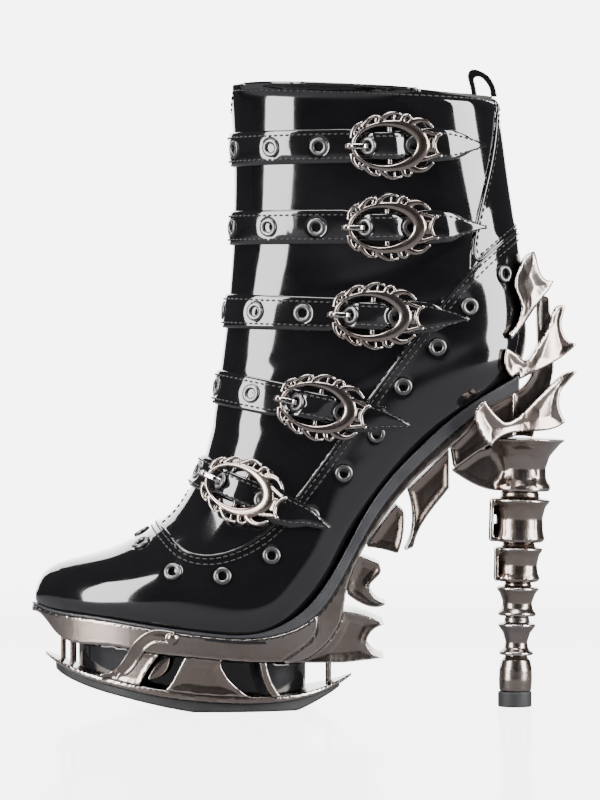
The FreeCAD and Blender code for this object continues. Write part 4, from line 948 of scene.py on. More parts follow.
seams = []
for name, column, level in (("foot_part", "foot_part", 1.7 * MM), ("foot_part", "foot_part", 4.2 * MM),
                            ("shaft_front", "top", 2.4 * MM), ("shaft_back", "top", 2.4 * MM),
                            ("shaft_back", "shaft_back", 1.8 * MM), ("shaft_back", "zip", 2.2 * MM),
                            ("shaft_front", "zip", 2.2 * MM)):
    table, faces = panels[name]
    lines = level_lines(table, faces, SKIN_COLUMNS[column], level)
    seams.append(sew(lines, panel_tree(name)))
    print("stitch lines on", name, "along", column, "->", len(lines))
thread_points = []
thread_faces = []
for points, faces in seams:
    base = len(thread_points)
    thread_points += points
    thread_faces += [tuple(base + index for index in face) for face in faces]
make_piece("upper_stitches", thread_points, thread_faces, THREAD, slot="patent_leather")

# %% [markdown]
# ## Rolled seam edges
# Where one panel is turned under and laid on the next, its fold is a thick soft edge. It is a
# tube along the seam, sunk to half in the leather, and it hides where the two panels meet.


# %% Rolled edges
def roll_edge(lines, radius, around=10):
    """Tubes along polylines, slimmer at both ends."""
    points = []
    faces = []
    for line in lines:
        line = straighten(line, 12)
        spots, runs = walk(line, 0.8 * MM)
        base = len(points)
        count = len(spots)
        for index, (spot, run) in enumerate(zip(spots, runs)):
            along = Vector(run).normalized()
            aside = Vector((0, 0, 1)) if abs(along.z) < 0.9 else Vector((1, 0, 0))
            side = along.cross(aside).normalized()
            up = side.cross(along)
            slim = radius * math.sqrt(min(1.0, (index + 0.6) / 5, (count - index - 0.4) / 5))
            for k in range(around):
                turn = 2 * math.pi * k / around
                points.append(Vector(spot) + (side * math.cos(turn) + up * math.sin(turn)) * slim)
        for row in range(count - 1):
            for k in range(around):
                ahead = (k + 1) % around
                here, above = base + row * around, base + (row + 1) * around
                faces.append((here + k, here + ahead, above + ahead, above + k))
        faces.append(tuple(range(base, base + around))[::-1])
        faces.append(tuple(range(base + (count - 1) * around, base + count * around)))
    return points, faces


foot_table, foot_faces = panels["foot_part"]
slant_lines = level_lines(foot_table, foot_faces, SKIN_COLUMNS["foot_part"], 0.35 * MM)
back_table, back_faces = panels["shaft_back"]
outer_back = [line[line[:, 1] < 0] for line in
              level_lines(back_table, back_faces, SKIN_COLUMNS["shaft_back"], 0.4 * MM)]
outer_back = [line for line in outer_back if len(line) > 12]
make_piece("slant_seam_edge", *roll_edge(slant_lines, 0.55 * MM), PATENT, slot="patent_leather")
make_piece("back_seam_edge", *roll_edge(outer_back, 0.95 * MM), PATENT, slot="patent_leather")

# %% [markdown]
# ## The straps
# A strap is a flat leather band with two stitched edges, a hump where it passes over the buckle's
# bar, and a cut point. Rays aimed at the upright middle line of the shaft find the band's lower
# and upper edge and its height, turn by turn. From those the band is drawn again with a slightly
# crowned face and rolled sides, which is what makes a patent strap flash along its length.

# %% Strap reader
STRAP_CENTRE = (-0.078, 0.0)
ACROSS = 15
STRAP_THICK = 1.5 * MM


def aim(turn, height):
    """Start and direction of a level ray towards the shaft's middle at a turn and height."""
    out = np.array([math.cos(turn), math.sin(turn), 0.0])
    start = np.array([STRAP_CENTRE[0], STRAP_CENTRE[1], height]) + out * REACH
    return Vector(start), Vector(-out)


def strap_hit(tree, turn, height):
    """Where the level ray at a turn and height meets the strap from outside, or None."""
    start, direction = aim(turn, height)
    hit = tree.ray_cast(start, direction, REACH)
    return None if hit[0] is None else np.array(hit[0])


def strap_edge(tree, turn, inside, outside):
    """Closes in on the strap's edge between a height on it and a height off it."""
    for _ in range(9):
        middle = (inside + outside) / 2
        if strap_hit(tree, turn, middle) is None:
            outside = middle
        else:
            inside = middle
    return inside


def strap_columns(node):
    """For each turn round the shaft, the strap's points from its lower to its upper edge."""
    tree = search_tree(node)
    low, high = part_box(node)
    columns = []
    scan = np.arange(low.z - 0.5 * MM, high.z + 0.6 * MM, 0.6 * MM)
    for turn in np.radians(np.arange(52.0, 352.0, 0.9)):
        found = [height for height in scan if strap_hit(tree, turn, height) is not None]
        if len(found) < 3:
            continue
        bottom = strap_edge(tree, turn, found[0], found[0] - 0.6 * MM)
        top = strap_edge(tree, turn, found[-1], found[-1] + 0.6 * MM)
        heights = bottom + (top - bottom) * np.linspace(0.04, 0.96, ACROSS)
        hits = [strap_hit(tree, turn, height) for height in heights]
        good = [k for k, hit in enumerate(hits) if hit is not None]
        if len(good) < 4:
            continue
        column = np.stack([np.interp(np.arange(ACROSS), good, [hits[k][axis] for k in good])
                           for axis in range(3)], axis=1)
        columns.append(column)
    return np.array(columns)


def smooth_columns(columns, passes):
    """Evens the strap along its run; the two ends stay."""
    for _ in range(passes):
        inner = (columns[:-2] + 2 * columns[1:-1] + columns[2:]) / 4
        columns = np.concatenate([columns[:1], inner, columns[-1:]])
    return columns


def grid_normals(columns):
    along = np.gradient(columns, axis=0)
    across = np.gradient(columns, axis=1)
    normals = np.cross(along, across)
    normals /= np.maximum(np.linalg.norm(normals, axis=2), 1e-12)[:, :, None]
    away = columns - np.array([*STRAP_CENTRE, 0.0]) * [1, 1, 0]
    away[:, :, 2] = 0
    flip = np.sign(np.sum(normals * away, axis=2))
    return normals * np.where(flip == 0, 1, flip)[:, :, None]


TIP_REACH = 19 * MM
TIP_HALF = 6.2 * MM


def point_tip(columns):
    """Draws the last stretch of the strap in to a straight-sided point."""
    centre = columns[:, ACROSS // 2]
    steps = np.linalg.norm(np.diff(centre, axis=0), axis=1)
    left = np.append(np.cumsum(steps[::-1])[::-1], 0.0)
    half = np.linalg.norm(columns[:, -1] - columns[:, 0], axis=1) / 2
    wanted = 0.5 * MM + (TIP_HALF - 0.5 * MM) * np.clip(left / TIP_REACH, 0, 1)
    wanted += (half - wanted) * ease((left - TIP_REACH) / (10 * MM))
    share = np.minimum(wanted / np.maximum(half, 1e-6), 1.0)
    middle = (columns[:, :1] + columns[:, -1:]) / 2
    return middle + (columns - middle) * share[:, None, None]


def build_strap(number):
    node = "strap_%d" % number
    columns = point_tip(smooth_columns(strap_columns(node), 2))
    normals = grid_normals(columns)
    share = np.linspace(-1, 1, ACROSS)
    crown = 0.28 * MM * (1 - share ** 2) - 0.22 * MM * ease((np.abs(share) - 0.72) / 0.28)
    groove = -0.16 * MM * np.exp(-((np.abs(share) - 0.76) / 0.05) ** 2)
    wobble = 0.10 * MM * wave(columns.reshape(-1, 3), 16 * MM, number).reshape(columns.shape[:2])
    face = columns + normals * (crown[None, :, None] + groove[None, :, None] + wobble[:, :, None])
    flat = press_rings(face.reshape(-1, 3), normals.reshape(-1, 3), grommet_places, 3.6 * MM, 0.5 * MM)
    count = len(columns)
    faces = []
    for row in range(count - 1):
        for k in range(ACROSS - 1):
            here, ahead = row * ACROSS + k, (row + 1) * ACROSS + k
            faces.append((here, ahead, ahead + 1, here + 1))
    outward = panel_normals(flat, faces)
    if np.mean(np.sum(outward * normals.reshape(-1, 3), axis=1)) < 0:
        faces = [quad[::-1] for quad in faces]
    points, all_faces = thicken(flat, faces, normals.reshape(-1, 3), STRAP_THICK)
    make_piece(node + "_leather", points, all_faces, STRAP_PATENT, slot="patent_leather",
               replaces=(node,))
    tree = BVHTree.FromPolygons(flat.tolist(), [list(quad) for quad in faces])
    grid = flat.reshape(count, ACROSS, 3)
    lines = []
    for side in (0.12, 0.88):
        place = side * (ACROSS - 1)
        low = int(place)
        part = place - low
        lines.append(grid[3:-3, low] * (1 - part) + grid[3:-3, low + 1] * part)
    keep = []
    for line in lines:
        lengths = np.linalg.norm(np.diff(line, axis=0), axis=1)
        keep.append(line[:-1][lengths < 4 * MM])
    return sew(keep, tree, pitch=2.8 * MM, length=2.0 * MM, thick=0.40 * MM)


strap_threads = ([], [])
for number in range(1, 6):
    points, faces = build_strap(number)
    base = len(strap_threads[0])
    strap_threads[0].extend(points)
    strap_threads[1].extend(tuple(base + index for index in face) for face in faces)
make_piece("strap_stitches", *strap_threads, THREAD, slot="patent_leather")

# %% [markdown]
# ## Castings
# Cast and plated pieces have no sharp edges: the wax was rubbed and the plating fills corners. The
# frame's solid is turned into small even cells, relaxed, and then given relief: its flat side is
# hollowed so that a rim stands up round it, or crowned so that it looks rounded. A value stored on
# each point says whether it lies on a ridge or in a hollow, and the finish reads that to paint a
# highlight on ridges and shade in hollows.

# %% Casting tools
def recast(node, cell, rounds):
    """A new mesh over a frame node in even cells, with its corners rubbed round."""
    source = frame["nodes"][node]
    piece = bpy.data.objects.new(node + "_cast", source.data.copy())
    bpy.context.scene.collection.objects.link(piece)
    return remesh(piece, cell, rounds)


def remesh(piece, cell, rounds):
    """Even cells over a closed piece, rubbed round."""
    cells = piece.modifiers.new("cells", "REMESH")
    cells.mode = "VOXEL"
    cells.voxel_size = cell
    cells.use_smooth_shade = True
    bpy.context.view_layer.update()
    evaluated = piece.evaluated_get(bpy.context.evaluated_depsgraph_get())
    mesh = bpy.data.meshes.new_from_object(evaluated)
    piece.modifiers.clear()
    piece.data = mesh
    points = mesh_points(mesh)
    set_points(mesh, relax(points, mesh_edges(mesh), rounds))
    return piece


def mesh_points(mesh):
    points = np.empty(len(mesh.vertices) * 3)
    mesh.vertices.foreach_get("co", points)
    return points.reshape(-1, 3)


def set_points(mesh, points):
    mesh.vertices.foreach_set("co", points.astype(np.float32).ravel())
    mesh.update()


def mesh_normals(mesh):
    normals = np.empty(len(mesh.vertices) * 3)
    mesh.vertices.foreach_get("normal", normals)
    return normals.reshape(-1, 3)


# A hollow goes at most this share of the way to the boot's middle plane.
HOLLOW_SHARE = 0.4


def relief(piece, axis, depth, reach, facing=0.72):
    """Moves the faces that look along an axis, more with the distance from their border."""
    mesh = piece.data
    points = mesh_points(mesh)
    normals = mesh_normals(mesh)
    look = normals @ np.array(axis)
    for side in (-1, 1):
        face = np.flatnonzero(look * side > facing)
        rest = np.flatnonzero(look * side <= facing)
        if len(face) == 0 or len(rest) == 0:
            continue
        tree = KDTree(len(rest))
        for index in rest:
            tree.insert(Vector(points[index]), int(index))
        tree.balance()
        away = np.array([tree.find(Vector(points[index]))[2] for index in face])
        move = depth * ease(away / reach)
        if depth > 0:
            move = np.minimum(move, HOLLOW_SHARE * np.abs(points[face] @ np.array(axis)))
        points[face] -= np.outer(move * side, np.array(axis))
    set_points(mesh, points)


def store_edges(piece, size, spread=3):
    """Stores how far each point stands out of its surroundings: 0.5 is flat, 1 a sharp ridge."""
    mesh = piece.data
    points = mesh_points(mesh)
    ends = mesh_edges(mesh)
    around = points
    for _ in range(spread):
        around = neighbour_mean(around, ends)
    stand = np.sum((points - around) * mesh_normals(mesh), axis=1) / size
    for _ in range(2):
        stand = neighbour_mean(stand[:, None], ends)[:, 0]
    value = np.clip(0.5 + stand, 0, 1).astype(np.float32)
    stored = mesh.attributes.new("edge", "FLOAT", "POINT")
    stored.data.foreach_set("value", value)


def finish_casting(piece, cell, material, body, replaces=()):
    """Stores the ridge and hollow values that lead the painted highlight and shade, shades it smooth and
    finishes it.
    """
    store_edges(piece, cell)
    piece.data.shade_smooth()
    finish_piece(piece, material, body, replaces)


def cast_piece(node, material, cell, rounds, body="boot", reliefs=()):
    """Recasts a node, gives it relief and the edge values for painted highlight and shade, and puts it in
    the node's place.
    """
    piece = recast(node, cell, rounds)
    for axis, depth, reach in reliefs:
        relief(piece, axis, depth, reach)
    if reliefs:
        set_points(piece.data, relax(mesh_points(piece.data), mesh_edges(piece.data), 6))
    finish_casting(piece, cell, material, body, (node,))


# %% [markdown]
# ## Bar tools
# Small cast shapes are easier to draw than to carve. A bar is a line with a half width and a half
# height at each point; several closed bars are put together and melted into one even mesh, the
# way wax pieces are joined before a casting is made.

# %% Bar tools
def bend(knots, steps=18):
    """A smooth run through a few points."""
    knots = np.asarray(knots, dtype=float)
    count = len(knots)
    place = np.linspace(0, count - 1, steps)
    index = np.minimum(place.astype(int), count - 2)
    part = (place - index)[:, None]
    before = knots[np.maximum(index - 1, 0)]
    start, end = knots[index], knots[index + 1]
    after = knots[np.minimum(index + 2, count - 1)]
    pull_in, pull_out = (end - before) / 2, (after - start) / 2
    return ((2 * part ** 3 - 3 * part ** 2 + 1) * start + (3 * part ** 2 - 2 * part ** 3) * end
            + (part ** 3 - 2 * part ** 2 + part) * pull_in + (part ** 3 - part ** 2) * pull_out)


def sweep(line, wide, high, closed=False, around=12):
    """A bar along a line in the buckle's plane, with a half width and half height at each point."""
    line = np.asarray(line, dtype=float)
    if closed:
        ahead = np.roll(line, -1, axis=0) - np.roll(line, 1, axis=0)
    else:
        ahead = np.gradient(line, axis=0)
    ahead[:, 2] = 0
    ahead /= np.linalg.norm(ahead, axis=1)[:, None]
    aside = np.stack([-ahead[:, 1], ahead[:, 0], np.zeros(len(line))], axis=1)
    turns = np.linspace(0, 2 * math.pi, around, endpoint=False)
    points, faces = [], []
    for spot, side, half, tall in zip(line, aside, wide, high):
        for turn in turns:
            points.append(spot + side * half * math.cos(turn) + np.array([0, 0, tall * math.sin(turn)]))
    rows = len(line)
    for row in range(rows if closed else rows - 1):
        for k in range(around):
            here, there = row * around, (row + 1) % rows * around
            faces.append((here + k, here + (k + 1) % around, there + (k + 1) % around, there + k))
    if not closed:
        faces.append(tuple(reversed(range(around))))
        faces.append(tuple((rows - 1) * around + k for k in range(around)))
    return points, faces


def ball(centre, radius, rows=8, around=12):
    """A small sphere."""
    points, faces = [], []
    for row in range(1, rows):
        angle = math.pi * row / rows
        for k in range(around):
            turn = 2 * math.pi * k / around
            points.append(np.array(centre) + radius * np.array([math.sin(angle) * math.cos(turn),
                                                                math.sin(angle) * math.sin(turn),
                                                                math.cos(angle)]))
    for row in range(rows - 2):
        for k in range(around):
            here, there = row * around, (row + 1) * around
            faces.append((here + k, there + k, there + (k + 1) % around, here + (k + 1) % around))
    faces.append(tuple(range(around)))
    faces.append(tuple(reversed([(rows - 2) * around + k for k in range(around)])))
    return points, faces


def melt(name, bars, placed, cell, rounds):
    """Joins closed bars into one even mesh at a place in the boot."""
    points, faces = [], []
    for bar_points, bar_faces in bars:
        base = len(points)
        points.extend(bar_points)
        faces.extend(tuple(base + index for index in face) for face in bar_faces)
    flat = np.array(points) * MM
    axes = np.array([list(row)[:3] for row in placed])[:3]
    origin = np.array(placed.translation)
    mesh = bpy.data.meshes.new(name)
    mesh.from_pydata((flat @ axes.T + origin).tolist(), [], faces)
    piece = bpy.data.objects.new(name, mesh)
    bpy.context.scene.collection.objects.link(piece)
    return remesh(piece, cell, rounds)


# %% [markdown]
# ## Platform, arch and heel
# The sides of the platform, the arch ribs and the thorn plates look out sideways, so their relief
# runs along Y: a raised rim, which the finish paints bright as a highlight, with a dished field
# inside it. The thorns are rubbed most, until they are smooth bowls. The lower vertebrae of the heel
# are turned and only need their corners rubbed.

# %% Cast the sole unit
SIDEWAYS = (0.0, 1.0, 0.0)
CAST_CELL = 0.6 * MM
FINE_CELL = 0.3 * MM
THORN_ROUNDS = 40
DISHED_ROUNDS = 12
PLAIN_ROUNDS = 4
# Each node with the depth of its hollow and the width of its rim, in millimetres.
THORNS = (("heel_thorn_1", 1.8, 6.5), ("heel_thorn_2", 2.2, 8.0), ("heel_thorn_3", 2.6, 9.0))
DISHED = (("arch_rib_1", 1.1, 3.5), ("arch_rib_2", 1.1, 3.5), ("arch_rib_3", 1.1, 3.5),
          ("arch_rib_4", 1.3, 4.0), ("heel_core", 0.8, 3.0), ("heel_cup", 0.8, 3.0),
          ("vertebra_1", 0.5, 2.0), ("vertebra_2", 0.4, 2.0), ("front_struts", 0.5, 2.0),
          ("main_struts", 0.9, 4.0), ("rear_struts", 0.2, 1.0))
for group, rounds in ((THORNS, THORN_ROUNDS), (DISHED, DISHED_ROUNDS)):
    for node, depth, reach in group:
        cast_piece(node, CASTING, CAST_CELL, rounds,
                   reliefs=((SIDEWAYS, depth * MM, reach * MM),))
for node in ("platform_slab", "arch_rail", "base_plate", "vertebra_3", "vertebra_4", "heel_barrel",
             "platform_posts"):
    cell = FINE_CELL if node == "platform_posts" else CAST_CELL
    cast_piece(node, CASTING, cell, PLAIN_ROUNDS)
print("sole unit cast")

# %% [markdown]
# ## Bars laid over the platform's sides
# The front strut doesn't stop under the slab: it sweeps up over the slab's side in an S and ends in
# a round head, with a rim along each edge. A leaf hangs in the window behind it, and a narrow strip
# of gloss black plastic runs back from the main strut's head as painted shade for a recessed groove.
# They are swept bars on the side plane, X along the boot and Y up, laid on the surface that a level
# ray finds.

# %% Side bars
STRUT_RUN = ((-185.4, 15.0), (-179.0, 16.2), (-173.2, 21.0), (-168.0, 29.2), (-161.4, 33.8),
             (-152.8, 33.2))
LEAF_RUN = ((-164.0, 14.6), (-160.6, 17.6), (-157.4, 21.0), (-154.6, 24.2))
GROOVE_RUN = ((-139.0, 33.0), (-125.0, 31.4), (-111.5, 31.2))
side_tree = search_tree("platform_slab", "base_plate", "front_struts", "main_struts")


def surface_depths(run, side):
    """How far out the platform's side lies at each point of a run, evened."""
    depths = []
    for x, z in run:
        hit = side_tree.ray_cast(Vector((x * MM, side * 0.08, z * MM)), Vector((0, -side, 0)), 0.08)[0]
        depths.append(abs(hit.y) / MM if hit else depths[-1] if depths else 26.0)
    depths = np.array(depths)
    for _ in range(6):
        depths[1:-1] = (depths[:-2] + 2 * depths[1:-1] + depths[2:]) / 4
    return depths


def side_matrix(side):
    """From the side plane to the boot; Z looks outward."""
    return Matrix(((1, 0, 0, 0), (0, 0, side, 0), (0, 1, 0, 0), (0, 0, 0, 1)))


def finish_bars(name, bars, side, material, cell):
    piece = melt("%s_%s" % (name, "inner" if side > 0 else "outer"), bars, side_matrix(side), cell, 3)
    finish_casting(piece, cell, material, "boot")


for side in (-1, 1):
    run = bend(STRUT_RUN, 40)
    depths = surface_depths(run, side)
    share = np.linspace(0, 1, len(run))
    half = 1.5 + 1.6 * ease(share / 0.45)
    line = np.column_stack([run, depths + 0.1])
    bars = [sweep(line, half, np.full(len(run), 0.8)), ball(line[-1] - [0.4, 0, 1.2], 3.3)]
    ahead = np.gradient(run, axis=0)
    aside = np.stack([-ahead[:, 1], ahead[:, 0]], axis=1) / np.linalg.norm(ahead, axis=1)[:, None]
    for edge in (-1, 1):
        rim = np.column_stack([run + edge * aside * (half - 0.5)[:, None], depths + 0.8])
        bars.append(sweep(rim, np.full(len(run), 0.55), np.full(len(run), 0.55)))
    finish_bars("s_strut", bars, side, CASTING, 0.35 * MM)
    run = bend(LEAF_RUN, 24)
    share = np.linspace(0, 1, len(run))
    line = np.column_stack([run, np.full(len(run), 30.5)])
    half = 0.4 + 2.5 * np.sin(math.pi * share)
    finish_bars("window_leaf", [sweep(line, half, np.full(len(run), 0.9))],
                side, CASTING, FINE_CELL)
    # Painted shade: a strip of gloss black plastic on the slab's side stands for the shade inside a
    # recessed groove.
    run = bend(GROOVE_RUN, 24)
    line = np.column_stack([run, surface_depths(run, side)])
    finish_bars("slab_groove_shade_strip", [sweep(line, np.full(len(run), 0.75), np.full(len(run), 0.3))],
                side, CORE, 0.2 * MM)

# %% [markdown]
# ## Buckles
# Each buckle is a crescent ring, thin at the front and heavy at the rear, with a fringe of horns
# that curl over like breaking waves and end in little balls, and a double claw behind. They are
# drawn as swept bars on the buckle's own plane: X runs along the strap, Y across it and Z out of
# it, from the middle of the centre bar. The bars are then melted into one casting. The frame tilts
# on its centre bar and the prong lifts on the same bar, so each rides on its own body.

# %% Cast the buckles
BUCKLE_CELL = 0.26 * MM
RING_Z = 3.0
# Upper half of the fringe: the run of each horn from the ring to its ball.
HORN_RUNS = (
    ((-16.6, 3.4), (-16.3, 6.6), (-14.3, 9.3), (-12.5, 10.2)),
    ((-11.9, 8.0), (-9.7, 11.0), (-7.2, 12.8), (-5.0, 12.9)),
    ((-4.6, 10.4), (-1.5, 13.3), (1.6, 14.4), (4.6, 13.8)),
    ((5.3, 10.0), (6.1, 12.5), (8.2, 13.3), (9.4, 12.1)),
    ((8.6, 9.6), (12.2, 11.0), (15.8, 10.5), (18.8, 8.0)),
)
# Short stems that stand under the curls, and the double claw behind the ring.
STEM_RUNS = (((-13.7, 7.2), (-13.3, 9.4)), ((-6.4, 10.2), (-6.1, 12.4)), ((1.6, 10.8), (2.2, 13.8)))
CLAW_RUN = ((22.2, 4.7), (20.6, 3.3), (19.6, 0.0), (20.6, -3.3), (22.2, -4.7))
BLOCK_RUNS = (((14.0, 6.6), (17.6, 5.4), (20.6, 4.6)), ((15.5, 0.0), (19.6, 0.0)))


def buckle_bars():
    """All the bars of one buckle, in millimetres on its own plane."""
    bars = []
    turns = np.linspace(0, 2 * math.pi, 96, endpoint=False)
    outer = np.stack([17.3 * np.cos(turns), 11.0 * np.sin(turns)], axis=1)
    inner = np.stack([13.5 * np.cos(turns) - 1.8, 8.75 * np.sin(turns)], axis=1)
    middle = np.column_stack([(outer + inner) / 2, np.full(len(turns), RING_Z)])
    half = np.linalg.norm(outer - inner, axis=1) / 2
    bars.append(sweep(middle, half, np.full(len(turns), 1.12), closed=True, around=20))
    for side in (-1, 1):
        for number, knots in enumerate(HORN_RUNS):
            run = bend(knots)
            line = np.column_stack([run[:, 0], side * run[:, 1], np.full(len(run), RING_Z - 0.15)])
            share = np.linspace(0, 1, len(run))
            thick = 1.05 * (1 - share) ** 1.1 + 0.36 + (0.25 if number == 4 else 0.0)
            bars.append(sweep(line, thick, np.minimum(thick, 0.95)))
            bars.append(ball(line[-1], 0.66))
        for knots in STEM_RUNS + BLOCK_RUNS[:1]:
            run = bend(knots, 8)
            line = np.column_stack([run[:, 0], side * run[:, 1], np.full(8, RING_Z - 0.2)])
            thick = 0.42 if knots in STEM_RUNS else 0.9
            bars.append(sweep(line, np.full(8, thick), np.full(8, thick)))
        foot = np.array([[0, side * 9.4, -0.6], [0, side * 9.4, 0.8], [0, side * 9.4, 2.4]])
        for spot in foot:
            bars.append(ball(spot, 1.25))
    run = bend(CLAW_RUN, 30)
    line = np.column_stack([run, np.full(len(run), RING_Z)])
    bars.append(sweep(line, np.full(len(run), 0.85), np.full(len(run), 0.95)))
    for end in (line[0], line[-1]):
        bars.append(ball(end, 0.95))
    run = bend(BLOCK_RUNS[1], 8)
    line = np.column_stack([run, np.full(8, RING_Z - 0.5)])
    bars.append(sweep(line, np.full(8, 3.2), np.full(8, 0.6)))
    centre = np.array([[0, y, 0] for y in np.linspace(-9.9, 9.9, 12)])
    bars.append(sweep(centre, np.full(12, 1.1), np.full(12, 1.1)))
    return bars


def buckle_place(number):
    """The buckle's own frame in the boot, read from its joint and the leather under it."""
    tilt = [joint for joint in frame["joints"] if joint["name"] == "buckle_tilt_%d" % number][0]
    across = Vector(tilt["axis"])
    origin = Vector(tilt["pos_m"])
    outward = Vector(skin_tree.find_nearest(origin)[1])
    outward = (outward - across * outward.dot(across)).normalized()
    if outward.y > 0:
        outward = -outward
    along = across.cross(outward)
    matrix = Matrix((along, across, outward)).transposed().to_4x4()
    matrix.translation = origin
    return matrix


# The prong's thick bar over the front rim, with its end bent down, and the knob before it.
arm = np.column_stack([np.linspace(-17.6, -10.6, 10), np.zeros(10), np.full(10, 4.95)])
arm[-3:, 2] -= np.array([0.3, 0.9, 1.6])
ARM_BAR = sweep(arm, np.full(10, 1.25), np.full(10, 0.85))
KNOB_BALL = ball((-18.0, 0, 5.0), 1.7)
for number in range(1, 6):
    placed = buckle_place(number)
    prong = "prong_%d" % number
    ring = melt("buckle_frame_%d_cast" % number, buckle_bars(), placed, BUCKLE_CELL, 3)
    finish_casting(ring, BUCKLE_CELL, BUCKLE, "buckle_%d" % number,
                   ("buckle_frame_%d" % number,))
    cast_piece("buckle_" + prong, NICKEL, 0.25 * MM, 4, body=prong)
    for name, bar, metal in (("prong_top_%d", ARM_BAR, NICKEL), ("prong_knob_%d", KNOB_BALL, BUCKLE)):
        piece = melt(name % number, [bar], placed, BUCKLE_CELL, 2)
        finish_casting(piece, BUCKLE_CELL, metal, prong)
print("buckles cast")

# %% [markdown]
# ## Soft and rubber parts
# The rand, the outsole, the heel's tip, the chapes, the pull loop, the lining and the sock are all
# softer than metal, so their cells are relaxed more. The small hidden pieces keep the frame's
# shape, because they lie under leather, but they get their own finish as well.

# %% Soft parts
for node, material, slot, cell, rounds in (
        ("rand", RAND_RUBBER, "rand_rubber", 0.6, 8), ("chapes", PATENT, "patent_leather", 0.4, 6),
        ("pull_loop", PATENT, "patent_leather", 0.45, 8), ("lining", LINING, "lining_leather", 0.5, 6),
        ("sock_lining", LINING, "lining_leather", 0.5, 6), ("insole_board", BOARD, "fibre_board", 0.7, 4),
        ("platform_core", CORE, "core_plastic", 0.8, 6), ("outsole", TREAD, "tread_rubber", 0.6, 4),
        ("heel_tip", TREAD, "tread_rubber", 0.4, 4), ("zip_slider", ZIP_METAL, "zip_metal", 0.2, 3),
        ("zip_puller", ZIP_METAL, "zip_metal", 0.2, 3), ("zip_teeth", ZIP_METAL, "zip_metal", 0.2, 3)):
    body = {"zip_slider": "zip_slide", "zip_puller": "zip_pull"}.get(node, "boot")
    cast_piece(node, material, cell * MM, rounds, body=body)
for node, material in (("zip_tapes", TAPE), ("zip_stops", ZIP_METAL), ("counter_stiffener", BOARD),
                       ("toe_puff", BOARD), ("steel_shank", SPRING), ("bottom_filler", CORK),
                       ("heel_dowel", SPRING)):
    frame["nodes"][node].data.materials.clear()
    frame["nodes"][node].data.materials.append(material)

# %% [markdown]
# ## Studio
# Patent leather shows what stands round it, so the studio is the picture. The room is white to the
# eye and dark to the gloss. Two tall soft boxes draw the bright bands on the shaft, one hangs
# overhead for the toe and the floor, and one lights the far side. The floor is plain and pale.
# The camera looks along +Y through a long lens, as the side view of a shoe in a catalogue does.

# %% Stage, lights and camera
VIEW_CENTRE = Vector((-0.09675, 0.0, 0.138))
LENS = 200.0
DISTANCE = 2.0
VIEW_RAISED = 1.0
PAPER_GLOW = 6.5


def make_floor():
    """A pale floor that looks white, and that the gloss of the boot sees as dim."""
    mesh = bpy.data.meshes.new("floor")
    half = 6.0
    mesh.from_pydata([(-half, -half, 0), (half, -half, 0), (half, half, 0), (-half, half, 0)], [],
                     [(0, 1, 2, 3)])
    floor = bpy.data.objects.new("floor", mesh)
    bpy.context.scene.collection.objects.link(floor)
    material, tree, shader = new_material("pale_floor", Roughness=0.10, IOR=1.5)
    shader.inputs["Base Color"].default_value = (0.93, 0.93, 0.94, 1.0)
    paper = put_node(tree, "ShaderNodeEmission", None, Color=(1, 1, 1, 1), Strength=PAPER_GLOW)
    felt = put_node(tree, "ShaderNodeBsdfDiffuse", None, Color=(0.16, 0.16, 0.17, 1))
    seen = tree.nodes.new("ShaderNodeMixShader")
    place = tree.nodes.new("ShaderNodeTexCoord")
    reach = put_node(tree, "ShaderNodeVectorMath", {"operation": "LENGTH"})
    tree.links.new(place.outputs["Object"], reach.inputs[0])
    fade = span(tree, reach.outputs["Value"], 0.3, 1.1, 0.74, 1.0)
    tree.links.new(fade, seen.inputs[0])
    tree.links.new(shader.outputs[0], seen.inputs[1])
    tree.links.new(paper.outputs[0], seen.inputs[2])
    path = tree.nodes.new("ShaderNodeLightPath")
    mix = tree.nodes.new("ShaderNodeMixShader")
    tree.links.new(path.outputs["Is Camera Ray"], mix.inputs[0])
    tree.links.new(felt.outputs[0], mix.inputs[1])
    tree.links.new(seen.outputs[0], mix.inputs[2])
    tree.links.new(mix.outputs[0], tree.nodes["Material Output"].inputs[0])
    mesh.materials.append(material)


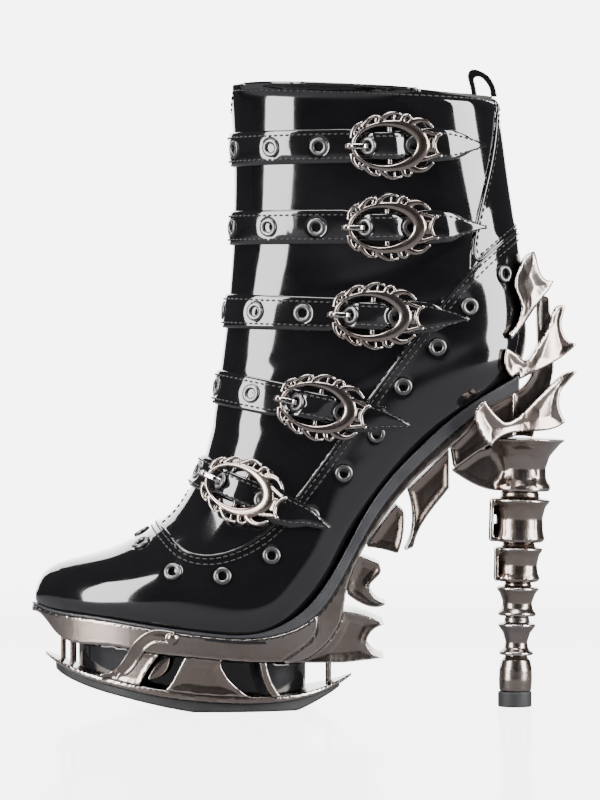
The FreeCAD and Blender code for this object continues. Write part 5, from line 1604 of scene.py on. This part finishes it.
def make_light(name, place, aim_at, size, power):
    light = bpy.data.lights.new(name, "AREA")
    light.shape = "RECTANGLE"
    light.size, light.size_y = size
    light.energy = power
    lamp = bpy.data.objects.new(name, light)
    lamp.location = place
    lamp.rotation_mode = "QUATERNION"
    lamp.rotation_quaternion = (Vector(place) - Vector(aim_at)).to_track_quat("Z", "Y")
    lamp.visible_camera = False
    bpy.context.scene.collection.objects.link(lamp)


def make_world():
    """White to the eye, dim grey to the surfaces, so that gloss stays deep."""
    world = bpy.data.worlds.new("studio")
    bpy.context.scene.world = world
    world.use_nodes = True
    tree = world.node_tree
    tree.nodes.clear()
    seen = put_node(tree, "ShaderNodeBackground", None, Color=(1, 1, 1, 1), Strength=PAPER_GLOW)
    felt = put_node(tree, "ShaderNodeBackground", None, Color=(0.9, 0.92, 1.0, 1), Strength=0.05)
    path = tree.nodes.new("ShaderNodeLightPath")
    mix = tree.nodes.new("ShaderNodeMixShader")
    tree.links.new(path.outputs["Is Camera Ray"], mix.inputs[0])
    tree.links.new(felt.outputs[0], mix.inputs[1])
    tree.links.new(seen.outputs[0], mix.inputs[2])
    out = tree.nodes.new("ShaderNodeOutputWorld")
    tree.links.new(mix.outputs[0], out.inputs[0])


def make_camera():
    camera = bpy.data.objects.new("camera", bpy.data.cameras.new("camera"))
    camera.data.lens = LENS
    raised = math.radians(VIEW_RAISED)
    back = Vector((0, -math.cos(raised), math.sin(raised)))
    camera.location = VIEW_CENTRE + back * DISTANCE
    camera.rotation_mode = "QUATERNION"
    camera.rotation_quaternion = back.to_track_quat("Z", "Y")
    bpy.context.scene.collection.objects.link(camera)
    bpy.context.scene.camera = camera


make_floor()
make_world()
make_light("left_box", (-1.0, -0.62, 0.35), (-0.1, 0, 0.15), (0.50, 1.1), 34)
make_light("right_box", (0.85, -0.42, 0.38), (-0.05, 0, 0.15), (0.50, 0.9), 30)
make_light("top_box", (-0.25, -0.15, 1.2), (-0.1, 0, 0.1), (0.9, 0.6), 24)
make_light("back_box", (-0.2, 1.3, 0.6), (-0.1, 0, 0.15), (1.8, 1.1), 40)
make_camera()
